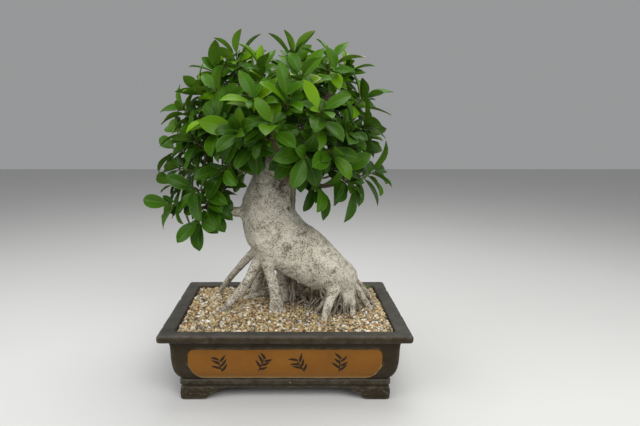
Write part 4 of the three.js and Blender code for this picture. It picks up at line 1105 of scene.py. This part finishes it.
# The pattern of one leaf: a grid over its length and width, its two faces joined at the rim.
pattern = bmesh.new()
lastStation = len(crown["stations"]) - 1
bmesh.ops.create_grid(pattern, x_segments=lastStation, y_segments=4, size=1)
side = pattern.verts.layers.int.new("side")
for vert in pattern.verts:
    vert[side] = 0 if any(len(edge.link_faces) == 1 for edge in vert.link_edges) else 1
lower = bmesh.ops.duplicate(pattern, geom=list(pattern.faces))["geom"]
for vert in vertsOf(lower):
    vert[side] = -vert[side]
bmesh.ops.reverse_faces(pattern, faces=[part for part in lower if isinstance(part, bmesh.types.BMFace)])
for vert in pattern.verts:
    vert.co.z = vert[side] * 0.1
bmesh.ops.remove_doubles(pattern, verts=pattern.verts, dist=1e-4)
pattern.verts.index_update()
leafSpots = []  # of each corner: way along, way across from -1 to 1, and face, 1 above and -1 below
for vert in pattern.verts:
    column = round((vert.co.x + 1) / 2 * lastStation)
    leafSpots.append((crown["stations"][column], round(vert.co.y * 2) / 2, round(vert.co.z * 10)))
leafFaces = [[vert.index for vert in face.verts] for face in pattern.faces]
leafUnder = [min(leafSpots[k][2] for k in face) < 0 for face in leafFaces]
bladeFaces = [face for face in leafFaces if min(leafSpots[k][0] for k in face) > 0.1]
pattern.free()


def newLeaf(root, run, bend, side, half, facing):  # a leaf's root, curve, half width and way up, in metres
    hand = 1 if side.cross(run).dot(facing) > 0 else -1
    return {"root": root, "run": run, "bend": bend, "side": side, "half": half, "hand": hand}


def dressLeaf(leaf, draw, youth):
    leaf["fold"] = draw.uniform(0.4, 1.5)
    leaf["curl"] = draw.uniform(0.05, 0.5)
    leaf["seed"] = draw.uniform(0, 7)
    leaf["lot"] = draw.random()
    leaf["youth"] = min(max(youth + draw.uniform(-0.2, 0.2), 0), 1)
    return leaf


def bladeWidth(share, youth):  # half width as a share of the widest: young leaves are more pointed
    if not 0 < share < 1:
        return 0
    blunt = share ** 0.85 * (1 - share) ** 0.68 / 0.3489 * (1 - 0.35 * eased((share - 0.84) / 0.16))
    pointed = share ** 0.95 * (1 - share) ** 0.95 / 0.2679
    return between(blunt, pointed, min(0.25 + 1.1 * youth, 1))


def leafCorners(leaf):  # corners of one leaf, in metres
    root, run, bend = leaf["root"], leaf["run"], leaf["bend"]
    length = (run + bend).length
    corners = []
    for along, across, face in leafSpots:
        tangent = (run + bend * 2 * along).normalized()
        side = (leaf["side"] - tangent * leaf["side"].dot(tangent)).normalized()
        normal = side.cross(tangent).normalized() * leaf["hand"]
        blade = max(0.0, (along - crown["stalkEnd"]) / (1 - crown["stalkEnd"]))
        stalk = crown["stalkHalf"] * mm * (1 - 0.75 * blade)
        half = max(leaf["half"] * bladeWidth(blade, leaf["youth"]), stalk)
        rise = crown["fold"] * leaf["fold"] * abs(across) * half
        rise += (crown["wave"] * mm * math.sin(along * 9 + leaf["seed"] + across * 2) * abs(across)
                 * blade ** 0.5)
        rise -= leaf["curl"] * length * max(0, along - 0.6) ** 2
        body = crown["thick"] * mm * (1 - across * across) if blade > 0 else crown["stalkHalf"] * mm
        if face < 0:
            body += crown["keel"] * mm * max(0, 1 - abs(across) * 2) * (1 - along)
        centre = root + run * along + bend * along * along
        corners.append(centre + side * across * half + normal * (rise + face * body))
    return corners


def stemCorners(number):  # corners of a packed shoot's stem: rings of three, each turned from the last
    shoot = shoots[number]
    heading = shoot["heading"]
    across = Vector((0, 1, 0)) if abs(heading.x) > 0.8 else Vector((1, 0, 0))
    across = (across - heading * across.dot(heading)).normalized()
    other = heading.cross(across)
    corners = []
    for ring in range(crown["internodes"] + 1):
        centre = shoot["base"] + heading * (crown["stemGap"] + ring * crown["internode"])
        radius = between(crown["stemRadius"], crown["stemTip"], ring / crown["internodes"])
        for k in range(3):
            angle = number * 2.4 + math.radians(ring * crown["stemTurn"]) + k * math.tau / 3
            spoke = across * math.cos(angle) * radius + other * math.sin(angle) * radius
            corners.append(at(*(centre + spoke)))
    return corners


def joinedTo(start, seen):  # every corner that hangs together with the first one
    group, heap = [], [start]
    seen.add(start)
    while heap:
        here = heap.pop()
        group.append(here)
        for edge in here.link_edges:
            there = edge.other_vert(here)
            if there not in seen:
                seen.add(there)
                heap.append(there)
    return group


def readRing(ring):  # a packed leaf has rings of four: its rib, a half width across, and the way up
    pairs = [(a, b) for k, a in enumerate(ring) for b in ring[k + 1:]]
    left, right = max(pairs, key=lambda pair: (pair[0].co - pair[1].co).length)
    middle = (left.co + right.co) / 2
    rest = [one for one in ring if one not in (left, right)]
    rib, keel = sorted(rest, key=lambda one: (one.co - middle).length)
    return rib.co.copy(), (left.co - right.co) / 2, (rib.co - keel.co).normalized()


def readLeaves(name, number):  # a packed leaf is a group of nine corners that grows from the stem
    shape = bmesh.new()
    shape.from_mesh(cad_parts[name].data)
    bmesh.ops.remove_doubles(shape, verts=shape.verts, dist=3e-6)
    stem = stemCorners(number)
    onStem = {vert for vert in shape.verts if min((vert.co - point).length for point in stem) < 5e-5}
    seen = set(onStem)
    leaves = []
    for vert in shape.verts:
        group = joinedTo(vert, seen) if vert not in seen else []
        if len(group) != 9:
            continue
        tip = next(one for one in group if len(one.link_edges) == 4)
        outer = [edge.other_vert(tip) for edge in tip.link_edges]
        inner = [one for one in group if one is not tip and one not in outer]
        rootVerts = {edge.other_vert(one) for one in inner for edge in one.link_edges} & onStem
        root = sum((one.co for one in rootVerts), Vector()) / len(rootVerts)
        innerSide, facing = readRing(inner)[1:]
        span = tip.co - root
        run = (readRing(outer)[0] - root - span * 0.49) / 0.21  # the outer ring stands 0.7 of the way along
        leaves.append(newLeaf(root, run, span - run, innerSide.normalized(), innerSide.length / 0.84, facing))
    shape.free()
    return leaves


def leafMaterial(name, light, deep):
    material, tree, shader = newMaterial(name, crown["roughness"], crown["gloss"])
    lot, youth, under = partsOf(ownValue(tree, "leafTone", "Color"), "Color")
    blade = partsOf(node(tree, "UVMap", uv_map="blade").outputs[0])
    along = blade[0]
    out = mathOf("ABSOLUTE", times(minus(blade[1], 0.5), 2.0))
    cloudy = useEffect(tree, clouds, Size=0.02, Contrast=1.8)
    tint = mixColors(plus(times(cloudy, 0.3), times(lot, 0.8), True), deep, light)
    tint = mixColors(times(youth, 0.6), tint, crown["young"])
    fresh = times(remap(lot, 0.35, 0.7), remap(youth, 0.2, 0.6))
    tint = mixColors(times(fresh, 0.75), tint, crown["fresh"])
    # The rib, slanting veins and a pale margin.
    rib = remap(out, 0.075, 0.02)
    veins = remap(mathOf("SINE", minus(times(along, 62.0), times(out, 9.0))), 0.72, 1.0)
    tint = mixColors(larger(times(rib, 0.46), times(veins, 0.12)), tint, crown["rib"])
    tint = mixColors(remap(out, 0.88, 0.98, 0, 0.4), tint, crown["rib"])
    # The tips and edges of a few young leaves have blushed.
    ends = larger(times(remap(out, 0.55, 0.95), remap(along, 0.45, 0.85)), remap(along, 0.86, 0.97))
    chosen = times(remap(youth, 0.6, 0.8), remap(lot, 0.8, 0.9))
    blush = times(times(ends, chosen), remap(cloudy, 0.2, 0.7, 0.5, 1))
    tint = mixColors(times(blush, 0.85), tint, crown["blush"])
    tint = mixColors(times(under, 0.7), tint, crown["under"])
    rough = plus(remap(cloudy, 0, 1, crown["roughness"] + 0.08, crown["roughness"] - 0.06), times(under, 0.2))
    height = minus(useEffect(tree, grain, Coarse=0.003, Fine=0.0007, Share=0.4),
                   times(larger(rib, times(veins, 0.35)), 0.7))
    wire(shader, tint, (height, 0.35, 0.0005), rough)
    return material


youngLeaf = leafMaterial("young leaf", crown["young"], crown["youngDeep"])
grownLeaf = leafMaterial("grown leaf", crown["grown"], crown["grownDeep"])
greenStem = mottled("green stem", 0.5, (0.006, 2.5), (crown["stemBrown"], crown["stemGreen"]),
                    grains=(0.002, 0.0006, 0.5, 0.5, 0.0005))


def youthAt(place, share):  # how young a leaf looks, by its height in the crown and its place on the shoot
    z = place.z / mm
    return 0.8 * eased((z - 400) / 125) + 0.2 * eased((z - 300) / 200) * share


shootLeaves = []
for number, shoot in enumerate(shoots):
    draw = random.Random(900 + number)
    leaves = readLeaves(f"leafy_shoot_{number + 1:02d}", number)
    for leaf in leaves:
        share = 1 - (leaf["root"] - at(*shoot["top"])).length / (34 * mm)
        dressLeaf(leaf, draw, youthAt(leaf["root"], share))
    shootLeaves.append(leaves)
print("packed leaves read:", sum(len(leaves) for leaves in shootLeaves))


# What a new leaf keeps clear of: each leaf and stem as a small tree of its faces, found by its box.
boughTree = faceTree(boughMesh)
boxLow, boxHigh = np.array(cadBox[0]), np.array(cadBox[1])
mostFences = 6000
fences = []
fenceLows, fenceHighs = np.zeros((mostFences, 3)), np.zeros((mostFences, 3))


def putFence(corners, faces):
    fenceLows[len(fences)], fenceHighs[len(fences)] = np.min(corners, 0), np.max(corners, 0)
    fences.append(BVHTree.FromPolygons(corners, faces))


def isFree(corners, faces):
    low, high = np.min(corners, 0), np.max(corners, 0)
    if (low < boxLow).any() or (high > boxHigh).any():
        return False
    count = len(fences)
    near = np.flatnonzero((fenceLows[:count] < high).all(1) & (fenceHighs[:count] > low).all(1))
    own = BVHTree.FromPolygons(corners, faces)
    return not any(own.overlap(tree) for tree in [woodTree, boughTree] + [fences[k] for k in near])


prismFaces = [(0, 1, 4, 3), (1, 2, 5, 4), (2, 0, 3, 5), (0, 2, 1), (3, 4, 5)]


def prism(low, high, radius):  # corners of a three-sided bar from one place to another
    line = (high - low).normalized()
    across = line.orthogonal().normalized()
    other = line.cross(across)
    turns = [k * math.tau / 3 for k in range(3)]
    spokes = [across * math.cos(turn) * radius + other * math.sin(turn) * radius for turn in turns]
    return [at(*(end + spoke)) for end in (low, high) for spoke in spokes]


def turnedFrom(line, angle, draw):  # a direction that leaves a line at an angle, anywhere round it
    across = line.orthogonal().normalized()
    turn = draw.uniform(0, math.tau)
    radial = across * math.cos(turn) + line.cross(across) * math.sin(turn)
    return line * math.cos(angle) + radial * math.sin(angle), radial


def inClearing(spot):  # whether a leaf would hide, from the front, wood that shows through the crown
    eye = Vector(photoView["place"])
    for low, high, radius in crown["clearings"]:
        low, high = Vector(low), Vector(high)
        if spot.y > low.y:
            continue
        seen = eye + (spot - eye) * (low.y - eye.y) / (spot.y - eye.y)
        share = min(max((seen - low).dot(high - low) / (high - low).length_squared, 0), 1)
        if (seen - low.lerp(high, share)).length < radius:
            return True
    return False


def growLeaf(place, line, share, light, draw):  # a small leaf where there is room for one, in a list
    for attempt in range(crown["tries"]):
        direction, radial = turnedFrom(line, math.radians(draw.uniform(*crown["smallSpread"])), draw)
        direction = (direction - upward * draw.uniform(0, 0.25)).normalized()
        facing = line * 0.5 + upward * 0.55 + light * draw.uniform(0.5, 1.3)
        facing = (facing - direction * facing.dot(direction)).normalized()
        length = draw.uniform(*crown["smallLeaf"]) * (1 - 0.03 * attempt) * mm
        bend = -facing * draw.uniform(*crown["smallBend"]) * length
        half = length * draw.uniform(*crown["smallHalf"])
        leaf = newLeaf(at(*(place + radial * 1.1)), direction * length, bend,
                       facing.cross(direction).normalized(), half, facing)
        dressLeaf(leaf, draw, youthAt(leaf["root"], share))
        if draw.random() < crown["darkShare"]:  # most of the small ones are older, and dark
            leaf["lot"], leaf["youth"] = leaf["lot"] * 0.35, leaf["youth"] * 0.45
        corners = leafCorners(leaf)
        if not inClearing(place + direction * length / mm * 0.6) and isFree(corners, bladeFaces):
            putFence(corners, bladeFaces)
            return [leaf]
    return []


for leaves in shootLeaves:
    for leaf in leaves:
        putFence(leafCorners(leaf), bladeFaces)
for shoot in shoots:
    top = shoot["top"]
    putFence(prism(shoot["base"], top, crown["stemRadius"]), prismFaces)
    toSide = -80 if top.y < 35 else 80
    shoot["light"] = Vector(((top.x - heart.x) * 0.35, top.y - heart.y + toSide, 0)).normalized()

# Side shoots and small leaves fill the crown, the most of them at its top.
twigSteps = 6
packedCount = sum(len(leaves) for leaves in shootLeaves)
draw = random.Random(77)
for leaves, shoot in zip(shootLeaves, shoots):
    base, top, heading = shoot["base"], shoot["top"], shoot["heading"]
    twigLine = [Vector(point[:3]) for point in smoothRoute(shoot["twig"], twigSteps)]
    for k in range(next((count for height, count in crown["sideShoots"] if top.z > height), 0)):
        for attempt in range(crown["tries"]):
            start = twigLine[draw.randrange(twigSteps + 1, 3 * twigSteps)]
            line, radial = turnedFrom(heading, math.radians(draw.uniform(*crown["sideSpread"])), draw)
            line = (line + upward * 0.3).normalized()
            end = start + line * draw.uniform(*crown["sideLength"])
            stem = prism(start + line * 4, end, crown["sideRadius"])
            if isFree(stem, prismFaces):
                putFence(stem, prismFaces)
                shoot["sides"].append((start, end))
                for share in crown["sideLeaves"]:
                    leaves += growLeaf(start.lerp(end, share), line, share, shoot["light"], draw)
                break
    for k in range(crown["more"] if top.z > crown["high"] else crown["fewer"]):
        share = draw.uniform(-0.6, 1)
        place = base.lerp(top, share) if share > 0 else twigLine[3 * twigSteps + round(share * 10)]
        leaves += growLeaf(place, heading, max(share, 0), shoot["light"], draw)
added = sum(len(leaves) for leaves in shootLeaves) - packedCount
print("side shoots:", sum(len(shoot["sides"]) for shoot in shoots), "small leaves:", added)


def leafMesh(leaves, scale):  # one mesh of leaves, with the place on the blade and each leaf's own tone
    shapes = [np.array(leafCorners(leaf)) * scale + np.array(leaf["root"]) * (1 - scale) for leaf in leaves]
    mesh = manyOf(leafFaces, shapes)
    blade = [(leafSpots[k][0], leafSpots[k][1] * 0.5 + 0.5) for face in leafFaces for k in face]
    blade = np.tile(np.array(blade, np.float32), (len(leaves), 1))
    mesh.uv_layers.new(name="blade").data.foreach_set("uv", blade.ravel())
    under = [flag for face, flag in zip(leafFaces, leafUnder) for k in face]
    tones = np.array([(leaf["lot"], leaf["youth"], flag, 1) for leaf in leaves for flag in under], np.float32)
    mesh.color_attributes.new("leafTone", "FLOAT_COLOR", "CORNER").data.foreach_set("color", tones.ravel())
    return mesh


def leafyPiece(name, leaves, scale, stems, young, nodes):  # each stem is a line and its sides
    whole = bmesh.new()
    whole.from_mesh(leafMesh(leaves, scale))
    blades = set(whole.faces)
    for line, sides in stems:
        sweep(whole, line, sides)
    stalks = [face for face in whole.faces if face not in blades]
    for face in stalks:
        face.material_index = 1
    bmesh.ops.recalc_face_normals(whole, faces=stalks)
    leafFinish = youngLeaf if young else grownLeaf
    finishPiece(name, meshFrom(whole, False), [leafFinish, greenStem], nodes, 50)


for number, shoot in enumerate(shoots):
    heading, base, top = shoot["heading"], shoot["base"], shoot["top"]
    stem = [(*(base - heading * 3), 1.9), (*(base + heading * 2), 1.75)]
    for ring in range(1, crown["internodes"] + 1):
        spot = base + heading * ring * crown["internode"]
        radius = between(crown["stemRadius"], crown["stemTip"], ring / crown["internodes"])
        stem += [(*(spot - heading * 2.5), radius * 0.85), (*spot, radius * 1.25)]
    stem += [(*(top + heading * 1.2), 1.25), (*(top + heading * 3), 1.05), (*(top + heading * 5.3), 0.25)]
    stems = [(stem, 7)]
    for start, end in shoot["sides"]:
        along = (end - start).normalized()
        side = [(*start, 1.3), (*start.lerp(end, 0.35), 1.15), (*start.lerp(end, 0.7), 1.1), (*end, 0.95)]
        stems.append((side + [(*(end + along * 2), 0.85), (*(end + along * 4.5), 0.2)], 6))
    young = top.z > crown["youngAbove"]
    leafyPiece(f"leafyShoot{number + 1:02d}", shootLeaves[number], 1.0, stems, young,
               [f"leafy_shoot_{number + 1:02d}"])
print("leafy shoots made")

# A seedling has come up in the grit behind on the right.
sprout = {"place": (163, 106), "leaves": 9, "length": (26, 38), "scale": 0.17, "youth": 0.7, "turn": 2.4}
draw = random.Random(3)
x, y = sprout["place"]
middle = Vector((x, y, gritTop(x, y) + 3))
leaves = []
for k in range(sprout["leaves"]):
    turn = k * sprout["turn"]
    direction = Vector((math.cos(turn), math.sin(turn), draw.uniform(0.1, 0.9))).normalized()
    facing = (upward - direction * direction.dot(upward)).normalized()
    length = draw.uniform(*sprout["length"]) * mm
    leaf = newLeaf(at(*middle), direction * length, -facing * 0.2 * length, facing.cross(direction),
                   length * 0.28, facing)
    leaves.append(dressLeaf(leaf, draw, sprout["youth"]))
stem = [(*(middle - upward * 6), 0.6), (*(middle - upward * 2), 0.5), (*(middle + upward * 0.4), 0.4)]
leafyPiece("seedling", leaves, sprout["scale"], [(stem, 6)], True, ())
print("seedling made")


# Plain pale floor and soft studio light

studio = {
    "floorColors": ((0.62, 0.62, 0.61, 1), (0.68, 0.68, 0.67, 1)), "floorHalf": 4,
    "lamps": [  # place and aim in metres from the pot, size, power, colour
        ((0.5, -1.25, 1.3), (0.0, 0.0, 0.25), 1.0, 16.5, (1, 0.985, 0.96)),
        ((-1.3, -0.8, 0.9), (0.0, 0.0, 0.3), 1.4, 15, (0.97, 0.98, 1)),
        ((0.1, 0.3, 1.6), (0.0, 0.0, 0.35), 1.1, 14, (1, 1, 0.98)),
        ((1.5, -0.4, 0.8), (0.0, 0.0, 0.4), 1.2, 4.5, (1, 1, 0.98))],
    "sky": (0.88, 0.89, 0.9, 1), "skyStrength": 0.35,
}

floorShape = bmesh.new()
bmesh.ops.create_grid(floorShape, x_segments=4, y_segments=4, size=studio["floorHalf"])
floorMesh = meshFrom(floorShape, False)
floorMesh.materials.append(mottled("pale floor", 0.9, (0.4, 0.6), studio["floorColors"]))
floor = bpy.data.objects.new("floor", floorMesh)
scene.collection.objects.link(floor)

for k, (place, aim, size, power, color) in enumerate(studio["lamps"]):
    lamp = bpy.data.lights.new(f"softLamp{k}", "AREA")
    lamp.size, lamp.energy, lamp.color = size, power, color
    holder = bpy.data.objects.new(f"softLamp{k}", lamp)
    holder.location = Vector((potMiddle.x, potMiddle.y, 0)) + Vector(place)
    holder.rotation_euler = (Vector(aim) - Vector(place)).to_track_quat("-Z", "Y").to_euler()
    scene.collection.objects.link(holder)
world = bpy.data.worlds.new("studio")
world.use_nodes = True
world.node_tree.nodes["Background"].inputs["Color"].default_value = studio["sky"]
world.node_tree.nodes["Background"].inputs["Strength"].default_value = studio["skyStrength"]
scene.world = world
scene.view_settings.view_transform = "Standard"
print("stage and lamps made")
